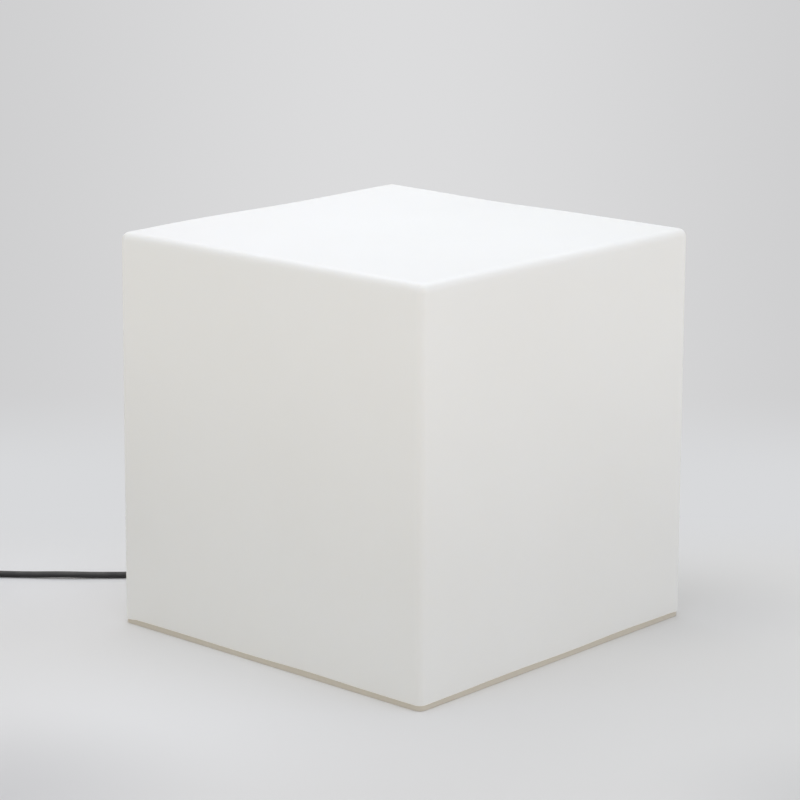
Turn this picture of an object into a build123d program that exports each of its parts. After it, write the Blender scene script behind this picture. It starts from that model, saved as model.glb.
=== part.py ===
"""Outdoor cube light, 400 mm: a hollow translucent cube that lifts off a lamp base with a screw-in bulb.

Millimetres, +Z up. The origin is on the floor, in the middle of the cube. The cord leaves at +Y.
"""

import math
import os

from build123d import *

os.makedirs("parts", exist_ok=True)

# ---- Clearances -------------------------------------------------------------------------------
LOOSE_GAP = 2.0  # between the lifting cube and the base that it is put over
FIT_GAP = 0.1  # between pieces that are pushed or screwed together
PIN_GAP = 0.05  # round shanks, stems and sheaths in their holes
THREAD_GAP = 0.3  # between the bulb's cap and the sleeve that it turns in
CORD_FLOOR_GAP = 0.1  # the cord's middle lies this much above its radius

# ---- Cube -------------------------------------------------------------------------------------
CUBE_SIDE = 400.0  # at the cube's foot
CUBE_TOP = 400.0  # height of the top face over the floor
CUBE_FOOT = 5.0  # height of the cube's underside over the floor
RIM_INSET = 1.0  # of the foot rim that runs round under the cube
RIM_WIDTH = 3.0
RIM_GAP = 0.5  # the foot rim ends this far over the floor
FLOOR_GAP = 4.0  # the base stands this far over the floor, on its feet
DRAFT_ANGLE = 0.22  # degrees that each side leans in
EDGE_RADIUS = 8.0
FOOT_EDGE_RADIUS = 2.0  # of the cube's lowest edges
CUBE_WALL = 4.0
RECESS_RADIUS = 134.0
RECESS_DEPTH = 20.0
LEDGE_WIDTH = 34.0  # of the cube's floor between the recess's wall and the opening
CHANNEL_HALF_WIDTH = 9.0
CHANNEL_ARCH_HEIGHT = 12.0  # of the arch's centre over the floor
MOUTH_RADIUS = 2.0  # soft edge round the recess

# ---- Base -------------------------------------------------------------------------------------
DECK_WALL = 3.0
COVER_THICKNESS = 3.0
COVER_SCREW_COUNT = 6
COVER_SCREW_INSET = 12.0  # from the deck's rim to the screws' middle
COVER_SCREW_SHANK = 1.55
COVER_SCREW_LENGTH = 13.0
COVER_HEAD_RADIUS = 3.3
COVER_HEAD_DEPTH = 1.75
BOSS_RADIUS = 4.5
RIB_THICKNESS = 2.4
RIB_HEIGHT = 7.0
RIB_INNER_RADIUS = 40.0
GASKET_THICKNESS = 2.0
SPIGOT_HEIGHT = 12.0
SPIGOT_WALL = 3.0
WIRE_HOLE_RADIUS = 8.0
FOOT_COUNT = 4
FOOT_INSET = 28.0  # from the deck's rim to the feet's middle
FOOT_RADIUS = 11.0
FOOT_STEM_RADIUS = 3.0
FOOT_BARB_RADIUS = 4.2
FOOT_BARB_HEIGHT = 2.0

# ---- Pillar -----------------------------------------------------------------------------------
PILLAR_FLANGE_RADIUS = 37.0
PILLAR_FLANGE_THICKNESS = 4.0
PILLAR_FOOT_RADIUS = 17.5
PILLAR_HEAD_RADIUS = 14.5
PILLAR_WALL = 3.0
PILLAR_HEIGHT = 66.0
PILLAR_ROOF = 4.0
PILLAR_SCREW_COUNT = 3
PILLAR_SCREW_CIRCLE = 28.0  # radius
PILLAR_SCREW_SHANK = 1.9
PILLAR_HEAD_SCREW_RADIUS = 3.8
PILLAR_HEAD_SCREW_HEIGHT = 2.4

# ---- Lampholder -------------------------------------------------------------------------------
NIPPLE_RADIUS = 5.0
NIPPLE_BORE = 3.6
NIPPLE_BELOW = 10.0  # below the pillar's top
NIPPLE_ABOVE = 7.0
NUT_WIDTH = 14.0  # across flats
NUT_HEIGHT = 4.0
HOLDER_CAP_RADIUS = 19.5
HOLDER_CAP_HEIGHT = 20.0
HOLDER_CAP_NECK = 12.0
HOLDER_CAP_NECK_HEIGHT = 2.0
HOLDER_CAP_SHOULDER = 10.0
HOLDER_WALL = 2.0
HOLDER_OVERLAP = 8.0  # of the barrel over the cap
HOLDER_HEIGHT = 40.0
HOLDER_LIP = 2.5
CORE_THICKNESS = 5.5
SLEEVE_THICKNESS = 0.5
SLEEVE_HEIGHT = 22.0
TERMINAL_OFFSET = 8.5
TERMINAL_WIDTH = 6.0
TERMINAL_HEIGHT = 6.0
TERMINAL_SCREW_RADIUS = 1.4
TERMINAL_SCREW_HEAD = 2.4
TONGUE_LENGTH = 13.0
TONGUE_WIDTH = 6.0
TONGUE_THICKNESS = 0.5
TONGUE_RISE = 2.2

# ---- Bulb -------------------------------------------------------------------------------------
BULB_LENGTH = 110.0
BULB_RADIUS = 30.0
CAP_RADIUS = 13.1
CAP_WALL = 0.5
CAP_LENGTH = 21.5
CAP_PITCH = 3.629
CAP_THREAD_DEPTH = 0.7
CAP_RINGS = 5
EYELET_RADIUS = 4.6
EYELET_HEIGHT = 1.4
INSULATOR_HEIGHT = 3.2
BODY_NECK_RADIUS = 14.6
BODY_SHOULDER_RADIUS = 27.5
BODY_SHOULDER_HEIGHT = 60.0  # over the bulb's tip
BODY_WALL = 1.8
BODY_SPIGOT = 10.0  # of the body inside the cap
BOARD_THICKNESS = 1.6
BOARD_LEDGE = 2.5
CHIP_COUNT = 12
CHIP_CIRCLE = 18.0
CHIP_LENGTH = 3.5
CHIP_WIDTH = 2.8
CHIP_HEIGHT = 0.8
DRIVER_WIDTH = 20.0
DRIVER_HEIGHT = 30.0
CAPACITOR_RADIUS = 3.5
CAPACITOR_LENGTH = 10.0
CAPACITOR_RISE = 14.0  # over the driver board's lower edge
CAPACITOR_OFFSET = 4.5  # beside the board's middle
CHOKE_WIDTH = 7.0
CHOKE_DEPTH = 6.0
CHOKE_LENGTH = 7.0
CHOKE_RISE = 15.0  # over the driver board's lower edge
CHOKE_OFFSET = 5.0
RECTIFIER_WIDTH = 8.0
RECTIFIER_DEPTH = 3.0
DOME_WALL = 1.2

# ---- Wiring -----------------------------------------------------------------------------------
CORD_RADIUS = 3.4
CORE_RADIUS = 1.2
CORD_AXIS_HEIGHT = 13.0  # where it enters the base
SHEATH_END = 80.0  # from the middle of the base
RELIEF_FLANGE_RADIUS = 7.6
RELIEF_FLANGE = 3.0
RELIEF_NECK_RADIUS = 5.8
RELIEF_ROOT_RADIUS = 6.2
RELIEF_TIP_RADIUS = 4.4
RELIEF_TAPER = 30.0
CLAMP_DISTANCE = 100.0  # from the middle of the base
CLAMP_WIDTH = 8.0
CLAMP_LENGTH = 32.0
CLAMP_THICKNESS = 2.0
CLAMP_SCREW_OFFSET = 11.0
CLAMP_SCREW_SHANK = 1.4
CLAMP_BOSS_RADIUS = 4.0
BLOCK_NEAR = 50.0
BLOCK_LENGTH = 16.0
BLOCK_WIDTH = 22.0
BLOCK_HEIGHT = 9.0
BLOCK_WAY_OFFSET = 5.0
BLOCK_SCREW_RADIUS = 1.8
BLOCK_SCREW_SPACING = 8.0
CORE_SPREAD = 1.6  # half the distance between the two cores in the pillar
SUPPLY_SPREAD = 1.7
WIRE_END_RUN = 4.0  # straight run of a wire beside the block, the sheath or a terminal
LAMP_WIRE_RUN = 16.0  # straight run of a lamp wire out of the block, and under the pillar
WIRE_RISE = 1.5  # of the lamp wires' bend over the nipple
WIRE_GRIP = 2.0  # from a wire's end to the far side of its terminal

# ---- Cord and plug ----------------------------------------------------------------------------
FREE_ROUTE = [
    (0.0, 165.0, 13.0),
    (0.0, 203.0, 13.0),
    (-24.0, 240.0, 6.6),
    (-66.0, 276.5, 3.5),
    (-118.5, 330.0, 3.5),
    (-142.0, 355.5, 5.6),
    (-165.0, 383.5, 3.5),
    (-187.5, 411.5, 3.5),
    (-208.0, 436.5, 4.4),
    (-229.5, 461.0, 4.4),
]
COIL_RADIUS = 48.0  # of the outer turn's middle
COIL_PITCH = 7.4
COIL_LAYERS = 4
COIL_HALF_TURNS = 5  # of each layer's spiral
TAIL_RUN = 28.0
TIE_WIDTH = 10.0
TIE_THICKNESS = 0.8
TIE_GAP = 0.2  # between the tie and the turns that it holds
TIE_TURN = 0.8  # radians round the coil from where the cord comes in
PLUG_AXIS_HEIGHT = 13.5
PLUG_NECK_LENGTH = 24.0
PLUG_NECK_RADIUS = 4.6
PLUG_NECK_ROOT = 7.0
PLUG_LENGTH = 34.0
PLUG_WIDTH = 35.0
PLUG_HEIGHT = 26.8
PLUG_CORNER = 9.0
PLUG_WAIST = 0.74  # of the width, where the neck meets the body
PIN_RADIUS = 2.4
PIN_LENGTH = 19.0
PIN_SPACING = 19.0
PIN_ROOT = 8.0  # of each pin inside the plug
PIN_ROOT_RADIUS = 1.9
PIN_TIP = 1.0  # rounding

# ---- Worked out from the sizes above ----------------------------------------------------------
recess_roof = FLOOR_GAP + RECESS_DEPTH
gasket_bottom = recess_roof - GASKET_THICKNESS
deck_underside = gasket_bottom - DECK_WALL
cover_top = FLOOR_GAP + COVER_THICKNESS
opening_radius = RECESS_RADIUS - LEDGE_WIDTH
deck_radius = RECESS_RADIUS - LOOSE_GAP
deck_bore = deck_radius - DECK_WALL
cover_radius = deck_bore - FIT_GAP
spigot_radius = opening_radius - LOOSE_GAP
cover_screw_circle = deck_radius - COVER_SCREW_INSET
foot_circle = deck_radius - FOOT_INSET
pillar_top = gasket_bottom + PILLAR_HEIGHT
flange_top = gasket_bottom + PILLAR_FLANGE_THICKNESS
nipple_top = pillar_top + NIPPLE_ABOVE
cap_top = pillar_top + HOLDER_CAP_HEIGHT
barrel_bottom = cap_top - HOLDER_OVERLAP
barrel_top = barrel_bottom + HOLDER_HEIGHT
barrel_bore = HOLDER_CAP_RADIUS - HOLDER_WALL
core_bottom = cap_top
core_top = core_bottom + CORE_THICKNESS
tongue_top = core_top + TONGUE_RISE + TONGUE_THICKNESS
bulb_tip = tongue_top
eyelet_top = bulb_tip + EYELET_HEIGHT
bulb_cap_bottom = eyelet_top + INSULATOR_HEIGHT
bulb_cap_top = bulb_cap_bottom + CAP_LENGTH
bulb_top = bulb_tip + BULB_LENGTH
sleeve_bore = CAP_RADIUS + THREAD_GAP
sleeve_radius = sleeve_bore + SLEEVE_THICKNESS
body_spigot_radius = CAP_RADIUS - CAP_WALL - CAP_THREAD_DEPTH - FIT_GAP
body_top = bulb_tip + BODY_SHOULDER_HEIGHT
board_bottom = body_top - BOARD_LEDGE
cord_diameter = 2 * CORD_RADIUS
relief_end = deck_radius + RELIEF_FLANGE + RELIEF_TAPER


def corner_radii(points):
    """Gives each inner point an arc of 0.45 of its shorter run over the tangent of half its turn."""
    radii = []
    for before, corner, after in zip(points, points[1:], points[2:]):
        arriving = Vector(corner) - Vector(before)
        leaving = Vector(after) - Vector(corner)
        half_turn = math.radians(arriving.get_angle(leaving)) / 2
        radii.append(0.45 * min(arriving.length, leaving.length) / math.tan(half_turn))
    return radii


def report_tube(name, part, line, radius):
    """Prints a tube's length and compares its volume with its section times its length."""
    ideal = math.pi * radius**2 * line.length
    print(name, "length", round(line.length, 1), "volume share", round(part.volume / ideal, 4))


# ---- The cube ---------------------------------------------------------------------------------
with BuildPart() as cube_cavity:
    with BuildSketch(Plane.XY.offset(CUBE_FOOT + CUBE_WALL)):
        Rectangle(CUBE_SIDE - 2 * CUBE_WALL, CUBE_SIDE - 2 * CUBE_WALL)
    extrude(amount=CUBE_TOP - CUBE_FOOT - 2 * CUBE_WALL, taper=DRAFT_ANGLE)
    fillet(cube_cavity.edges(), radius=EDGE_RADIUS - CUBE_WALL)
    # The wall over the recess and the cord's channel stands up into the hollow.
    with BuildSketch(Plane.XY.offset(FLOOR_GAP)):
        Circle(RECESS_RADIUS + CUBE_WALL)
    extrude(amount=RECESS_DEPTH + CUBE_WALL, mode=Mode.SUBTRACT)
    with BuildSketch(Plane.XZ):
        with Locations((0, CHANNEL_ARCH_HEIGHT)):
            Circle(CHANNEL_HALF_WIDTH + CUBE_WALL)
        with Locations((0, CHANNEL_ARCH_HEIGHT / 2)):
            Rectangle(2 * (CHANNEL_HALF_WIDTH + CUBE_WALL), CHANNEL_ARCH_HEIGHT)
    extrude(amount=-CUBE_SIDE, mode=Mode.SUBTRACT)

with BuildPart() as diffuser_cube:
    with BuildSketch(Plane.XY.offset(CUBE_FOOT)):
        Rectangle(CUBE_SIDE, CUBE_SIDE)
    extrude(amount=CUBE_TOP - CUBE_FOOT, taper=DRAFT_ANGLE)
    fillet([edge for group in diffuser_cube.edges().group_by(Axis.Z)[1:] for edge in group], radius=EDGE_RADIUS)
    fillet(diffuser_cube.edges().group_by(Axis.Z)[0], radius=FOOT_EDGE_RADIUS)
    rim_side = CUBE_SIDE - 2 * RIM_INSET
    rim_radius = EDGE_RADIUS - RIM_INSET
    with BuildSketch(Plane.XY.offset(RIM_GAP)):
        RectangleRounded(rim_side, rim_side, rim_radius)
        RectangleRounded(
            rim_side - 2 * RIM_WIDTH, rim_side - 2 * RIM_WIDTH, rim_radius - RIM_WIDTH, mode=Mode.SUBTRACT
        )
    extrude(amount=CUBE_FOOT + FOOT_EDGE_RADIUS / 2 - RIM_GAP)
    add(cube_cavity.part, mode=Mode.SUBTRACT)
    with BuildSketch(Plane.XY.offset(FLOOR_GAP)):
        Circle(RECESS_RADIUS)
    extrude(amount=RECESS_DEPTH, mode=Mode.SUBTRACT)
    with BuildSketch(Plane.XY.offset(recess_roof)):
        Circle(opening_radius)
    extrude(amount=CUBE_WALL, mode=Mode.SUBTRACT)
    with BuildSketch(Plane.XZ.offset(-(RECESS_RADIUS - CUBE_WALL))):
        with Locations((0, CHANNEL_ARCH_HEIGHT)):
            Circle(CHANNEL_HALF_WIDTH)
        with Locations((0, CHANNEL_ARCH_HEIGHT / 2)):
            Rectangle(2 * CHANNEL_HALF_WIDTH, CHANNEL_ARCH_HEIGHT)
    extrude(amount=-CUBE_SIDE / 2, mode=Mode.SUBTRACT)
diffuser_cube.part.label = "diffuser_cube"

# ---- The base ---------------------------------------------------------------------------------
with BuildPart() as lamp_base:
    with BuildSketch(Plane.XY.offset(FLOOR_GAP)):
        Circle(deck_radius)
    extrude(amount=gasket_bottom - FLOOR_GAP)
    fillet(lamp_base.edges().group_by(Axis.Z)[-1], radius=DECK_WALL / 3)
    with BuildSketch(Plane.XY.offset(FLOOR_GAP)):
        Circle(deck_bore)
    extrude(amount=deck_underside - FLOOR_GAP, mode=Mode.SUBTRACT)
    # Locating ring that the cube's opening drops over.
    with BuildSketch(Plane.XY.offset(gasket_bottom)):
        Circle(spigot_radius)
        Circle(spigot_radius - SPIGOT_WALL, mode=Mode.SUBTRACT)
    extrude(amount=SPIGOT_HEIGHT)
    fillet(lamp_base.edges().group_by(Axis.Z)[-1], radius=SPIGOT_WALL / 3)
    # Ribs and screw bosses under the deck.
    with BuildSketch(Plane.XY.offset(deck_underside - RIB_HEIGHT)):
        rib_length = deck_bore + DECK_WALL / 2 - RIB_INNER_RADIUS
        with PolarLocations(RIB_INNER_RADIUS + rib_length / 2, COVER_SCREW_COUNT):
            Rectangle(rib_length, RIB_THICKNESS)
        Circle(RIB_INNER_RADIUS + RIB_THICKNESS)
        Circle(RIB_INNER_RADIUS, mode=Mode.SUBTRACT)
        # The ring is left out where the wires run.
        with Locations((0, RIB_INNER_RADIUS)):
            Rectangle(BLOCK_WIDTH, 3 * RIB_THICKNESS, mode=Mode.SUBTRACT)
    extrude(amount=RIB_HEIGHT)
    with BuildSketch(Plane.XY.offset(cover_top)):
        with PolarLocations(cover_screw_circle, COVER_SCREW_COUNT):
            Circle(BOSS_RADIUS)
    extrude(amount=deck_underside - cover_top)
    with BuildSketch(Plane.XY.offset(deck_underside - RIB_HEIGHT)):
        with PolarLocations(PILLAR_SCREW_CIRCLE, PILLAR_SCREW_COUNT, start_angle=-90):
            Circle(BOSS_RADIUS)
    extrude(amount=RIB_HEIGHT)
    # Cradle and bosses of the cord clamp.
    with BuildSketch(Plane.XY.offset(CORD_AXIS_HEIGHT - CORD_RADIUS)):
        with Locations((CLAMP_SCREW_OFFSET, CLAMP_DISTANCE), (-CLAMP_SCREW_OFFSET, CLAMP_DISTANCE)):
            Circle(CLAMP_BOSS_RADIUS)
    extrude(amount=deck_underside - CORD_AXIS_HEIGHT + CORD_RADIUS)
    with BuildSketch(Plane.XY.offset(CORD_AXIS_HEIGHT + CORD_RADIUS)):
        with Locations((0, CLAMP_DISTANCE)):
            Rectangle(2 * (CLAMP_SCREW_OFFSET - CLAMP_BOSS_RADIUS) + 1.0, CLAMP_WIDTH)
    extrude(amount=deck_underside - CORD_AXIS_HEIGHT - CORD_RADIUS)
    # Holes: wires, cord entry, and the pilot holes of the screws.
    with BuildSketch(Plane.XY.offset(deck_underside)):
        Circle(WIRE_HOLE_RADIUS)
    extrude(amount=DECK_WALL, mode=Mode.SUBTRACT)
    with BuildSketch(Plane.XZ.offset(-deck_bore + 2 * DECK_WALL)):
        with Locations((0, CORD_AXIS_HEIGHT)):
            Circle(RELIEF_NECK_RADIUS + FIT_GAP)
    extrude(amount=-4 * DECK_WALL, mode=Mode.SUBTRACT)
    with BuildSketch(Plane.XY.offset(cover_top)):
        with PolarLocations(cover_screw_circle, COVER_SCREW_COUNT):
            Circle(COVER_SCREW_SHANK + PIN_GAP)
    extrude(amount=COVER_SCREW_LENGTH - COVER_THICKNESS + 1.0, mode=Mode.SUBTRACT)
    with BuildSketch(Plane.XY.offset(deck_underside - RIB_HEIGHT)):
        with PolarLocations(PILLAR_SCREW_CIRCLE, PILLAR_SCREW_COUNT, start_angle=-90):
            Circle(PILLAR_SCREW_SHANK + PIN_GAP)
    extrude(amount=RIB_HEIGHT + DECK_WALL, mode=Mode.SUBTRACT)
    with BuildSketch(Plane.XY.offset(CORD_AXIS_HEIGHT - CORD_RADIUS)):
        with Locations((CLAMP_SCREW_OFFSET, CLAMP_DISTANCE), (-CLAMP_SCREW_OFFSET, CLAMP_DISTANCE)):
            Circle(CLAMP_SCREW_SHANK + PIN_GAP)
    extrude(amount=deck_underside - CORD_AXIS_HEIGHT + CORD_RADIUS, mode=Mode.SUBTRACT)
lamp_base.part.label = "lamp_base"

with BuildPart() as base_gasket:
    with BuildSketch(Plane.XY.offset(gasket_bottom)):
        Circle(deck_radius - DECK_WALL)
        Circle(opening_radius + LOOSE_GAP, mode=Mode.SUBTRACT)
    extrude(amount=GASKET_THICKNESS)
base_gasket.part.label = "base_gasket"

with BuildPart() as base_cover:
    with BuildSketch(Plane.XY.offset(FLOOR_GAP)):
        Circle(cover_radius)
        with PolarLocations(foot_circle, FOOT_COUNT, start_angle=45):
            Circle(FOOT_STEM_RADIUS + PIN_GAP, mode=Mode.SUBTRACT)
    extrude(amount=COVER_THICKNESS)
    with BuildSketch(Plane.XY.offset(FLOOR_GAP)):
        with PolarLocations(cover_screw_circle, COVER_SCREW_COUNT):
            Circle(COVER_SCREW_SHANK + PIN_GAP)
    extrude(amount=COVER_THICKNESS, mode=Mode.SUBTRACT)
    with BuildSketch(Plane.XY.offset(FLOOR_GAP)):
        with PolarLocations(cover_screw_circle, COVER_SCREW_COUNT):
            Circle(COVER_HEAD_RADIUS + PIN_GAP)
    extrude(amount=COVER_HEAD_DEPTH, taper=45, mode=Mode.SUBTRACT)
base_cover.part.label = "base_cover"

with BuildPart() as cover_screws:
    with BuildSketch(Plane.XY.offset(FLOOR_GAP)):
        with PolarLocations(cover_screw_circle, COVER_SCREW_COUNT):
            Circle(COVER_SCREW_SHANK)
    extrude(amount=COVER_SCREW_LENGTH)
    with BuildSketch(Plane.XY.offset(FLOOR_GAP)):
        with PolarLocations(cover_screw_circle, COVER_SCREW_COUNT):
            Circle(COVER_HEAD_RADIUS)
    extrude(amount=COVER_HEAD_DEPTH, taper=45)
    with BuildSketch(Plane.XY.offset(FLOOR_GAP)):
        with PolarLocations(cover_screw_circle, COVER_SCREW_COUNT):
            Rectangle(3.2, 0.8)
            Rectangle(0.8, 3.2)
    extrude(amount=1.2, mode=Mode.SUBTRACT)
cover_screws.part.label = "cover_screws"

with BuildPart() as rubber_feet:
    with BuildSketch():
        with PolarLocations(foot_circle, FOOT_COUNT, start_angle=45):
            Circle(FOOT_RADIUS)
    extrude(amount=FLOOR_GAP)
    fillet(rubber_feet.edges().group_by(Axis.Z)[0], radius=1.0)
    with BuildSketch(Plane.XY.offset(FLOOR_GAP)):
        with PolarLocations(foot_circle, FOOT_COUNT, start_angle=45):
            Circle(FOOT_STEM_RADIUS)
    extrude(amount=COVER_THICKNESS)
    with BuildSketch(Plane.XY.offset(cover_top)):
        with PolarLocations(foot_circle, FOOT_COUNT, start_angle=45):
            Circle(FOOT_BARB_RADIUS)
    extrude(amount=FOOT_BARB_HEIGHT, taper=25)
rubber_feet.part.label = "rubber_feet"

# ---- The pillar -------------------------------------------------------------------------------
with BuildPart() as lamp_pillar:
    with BuildSketch(Plane.XZ):
        with BuildLine():
            Polyline(
                (PILLAR_FOOT_RADIUS - PILLAR_WALL, gasket_bottom),
                (PILLAR_FLANGE_RADIUS, gasket_bottom),
                (PILLAR_FLANGE_RADIUS, flange_top),
                (PILLAR_FOOT_RADIUS, flange_top),
                (PILLAR_HEAD_RADIUS, pillar_top),
                (NIPPLE_RADIUS + PIN_GAP, pillar_top),
                (NIPPLE_RADIUS + PIN_GAP, pillar_top - PILLAR_ROOF),
                (PILLAR_HEAD_RADIUS - PILLAR_WALL, pillar_top - PILLAR_ROOF),
                close=True,
            )
        make_face()
    revolve(axis=Axis.Z)
    fillet(lamp_pillar.edges().filter_by(GeomType.CIRCLE).filter_by_position(
        Axis.Z, flange_top, flange_top).sort_by(SortBy.RADIUS)[-1], radius=1.5)
    fillet(lamp_pillar.edges().filter_by(GeomType.CIRCLE).filter_by_position(
        Axis.Z, flange_top, flange_top).sort_by(SortBy.RADIUS)[0], radius=4.0)
    with BuildSketch(Plane.XY.offset(gasket_bottom)):
        with PolarLocations(PILLAR_SCREW_CIRCLE, PILLAR_SCREW_COUNT, start_angle=-90):
            Circle(PILLAR_SCREW_SHANK + PIN_GAP)
    extrude(amount=PILLAR_FLANGE_THICKNESS, mode=Mode.SUBTRACT)
lamp_pillar.part.label = "lamp_pillar"

with BuildPart() as pillar_screws:
    with BuildSketch(Plane.XY.offset(deck_underside - RIB_HEIGHT + 1.0)):
        with PolarLocations(PILLAR_SCREW_CIRCLE, PILLAR_SCREW_COUNT, start_angle=-90):
            Circle(PILLAR_SCREW_SHANK)
    extrude(amount=flange_top - deck_underside + RIB_HEIGHT - 1.0)
    with BuildSketch(Plane.XY.offset(flange_top)):
        with PolarLocations(PILLAR_SCREW_CIRCLE, PILLAR_SCREW_COUNT, start_angle=-90):
            Circle(PILLAR_HEAD_SCREW_RADIUS)
    extrude(amount=PILLAR_HEAD_SCREW_HEIGHT)
    fillet(pillar_screws.edges().group_by(Axis.Z)[-1], radius=1.0)
    with BuildSketch(Plane.XY.offset(flange_top + PILLAR_HEAD_SCREW_HEIGHT)):
        with PolarLocations(PILLAR_SCREW_CIRCLE, PILLAR_SCREW_COUNT, start_angle=-90):
            Rectangle(3.6, 0.8)
            Rectangle(0.8, 3.6)
    extrude(amount=-1.4, mode=Mode.SUBTRACT)
pillar_screws.part.label = "pillar_screws"

# ---- The lampholder ---------------------------------------------------------------------------
with BuildPart() as holder_nipple:
    with BuildSketch(Plane.XY.offset(pillar_top - NIPPLE_BELOW)):
        Circle(NIPPLE_RADIUS)
        Circle(NIPPLE_BORE, mode=Mode.SUBTRACT)
    extrude(amount=NIPPLE_BELOW + NIPPLE_ABOVE)
holder_nipple.part.label = "holder_nipple"

with BuildPart() as nipple_nuts:
    for nut_bottom in (pillar_top - PILLAR_ROOF - NUT_HEIGHT, pillar_top + HOLDER_WALL):
        with BuildSketch(Plane.XY.offset(nut_bottom)):
            RegularPolygon(radius=NUT_WIDTH / 2, side_count=6, major_radius=False)
            Circle(NIPPLE_RADIUS + PIN_GAP, mode=Mode.SUBTRACT)
        extrude(amount=NUT_HEIGHT)
nipple_nuts.part.label = "nipple_nuts"

with BuildPart() as holder_cap:
    with BuildSketch(Plane.XZ):
        with BuildLine():
            Polyline(
                (NIPPLE_RADIUS + PIN_GAP, pillar_top),
                (HOLDER_CAP_NECK, pillar_top),
                (HOLDER_CAP_NECK, pillar_top + HOLDER_CAP_NECK_HEIGHT),
                (HOLDER_CAP_RADIUS, pillar_top + HOLDER_CAP_SHOULDER),
                (HOLDER_CAP_RADIUS, cap_top),
                (HOLDER_CAP_RADIUS - HOLDER_WALL, cap_top),
                (HOLDER_CAP_RADIUS - HOLDER_WALL, pillar_top + HOLDER_CAP_SHOULDER + 1.0),
                (HOLDER_CAP_NECK - 1.2, pillar_top + HOLDER_WALL),
                (NIPPLE_RADIUS + PIN_GAP, pillar_top + HOLDER_WALL),
                close=True,
            )
        make_face()
    revolve(axis=Axis.Z)
holder_cap.part.label = "holder_cap"

with BuildPart() as holder_barrel:
    outer_radius = HOLDER_CAP_RADIUS + FIT_GAP + HOLDER_WALL
    with BuildSketch(Plane.XZ):
        with BuildLine():
            Polyline(
                (HOLDER_CAP_RADIUS + FIT_GAP, barrel_bottom),
                (outer_radius, barrel_bottom),
                (outer_radius, barrel_top),
                (sleeve_radius + FIT_GAP, barrel_top),
                (sleeve_radius + FIT_GAP, barrel_top - HOLDER_LIP),
                (barrel_bore, barrel_top - HOLDER_LIP),
                (barrel_bore, core_top),
                (HOLDER_CAP_RADIUS + FIT_GAP, core_top),
                close=True,
            )
        make_face()
    revolve(axis=Axis.Z)
    fillet(holder_barrel.edges().group_by(Axis.Z)[-1].sort_by(SortBy.RADIUS)[-1], radius=1.2)
    # Grip flutes round the barrel.
    with BuildSketch(Plane.XY.offset(barrel_bottom)):
        with PolarLocations(outer_radius + 0.4, 24):
            Circle(1.2)
    extrude(amount=HOLDER_HEIGHT * 0.55, mode=Mode.SUBTRACT)
holder_barrel.part.label = "holder_barrel"

with BuildPart() as holder_core:
    with BuildSketch(Plane.XY.offset(core_bottom)):
        Circle(HOLDER_CAP_RADIUS)
    extrude(amount=CORE_THICKNESS)
    chamfer(holder_core.edges().group_by(Axis.Z)[-1], length=0.6)
holder_core.part.label = "holder_core"

with BuildPart() as screw_sleeve:
    with BuildSketch(Plane.XY.offset(core_top)):
        Circle(sleeve_radius)
        Circle(sleeve_bore, mode=Mode.SUBTRACT)
    extrude(amount=SLEEVE_HEIGHT)
screw_sleeve.part.label = "screw_sleeve"

with BuildPart() as contact_tongue:
    tongue_root = -TONGUE_LENGTH * 0.7
    tongue_tip = tongue_root + TONGUE_LENGTH
    with BuildSketch(Plane.XZ.offset(-TONGUE_WIDTH / 2)):
        with BuildLine():
            Polyline(
                (tongue_root, core_top),
                (tongue_root + 3.0, core_top),
                (-1.5, tongue_top - TONGUE_THICKNESS),
                (1.5, tongue_top - TONGUE_THICKNESS),
                (tongue_tip, tongue_top - 1.6 - TONGUE_THICKNESS),
                (tongue_tip, tongue_top - 1.6),
                (1.5, tongue_top),
                (-1.5, tongue_top),
                (tongue_root + 2.8, core_top + TONGUE_THICKNESS),
                (tongue_root, core_top + TONGUE_THICKNESS),
                close=True,
            )
        make_face()
    extrude(amount=TONGUE_WIDTH)
contact_tongue.part.label = "contact_tongue"

with BuildPart() as holder_terminals:
    with BuildSketch(Plane.XY.offset(core_bottom - TERMINAL_HEIGHT)):
        with Locations((TERMINAL_OFFSET, 0), (-TERMINAL_OFFSET, 0)):
            Rectangle(TERMINAL_WIDTH, TERMINAL_WIDTH)
            Circle(CORE_RADIUS + PIN_GAP, mode=Mode.SUBTRACT)
    extrude(amount=TERMINAL_HEIGHT)
    with BuildSketch(Plane.XZ.offset(TERMINAL_WIDTH / 2)):
        with Locations((TERMINAL_OFFSET, core_bottom - TERMINAL_HEIGHT / 2),
                       (-TERMINAL_OFFSET, core_bottom - TERMINAL_HEIGHT / 2)):
            Circle(TERMINAL_SCREW_RADIUS + PIN_GAP)
    extrude(amount=-TERMINAL_WIDTH / 2 + CORE_RADIUS + PIN_GAP, mode=Mode.SUBTRACT)
holder_terminals.part.label = "holder_terminals"

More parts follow.
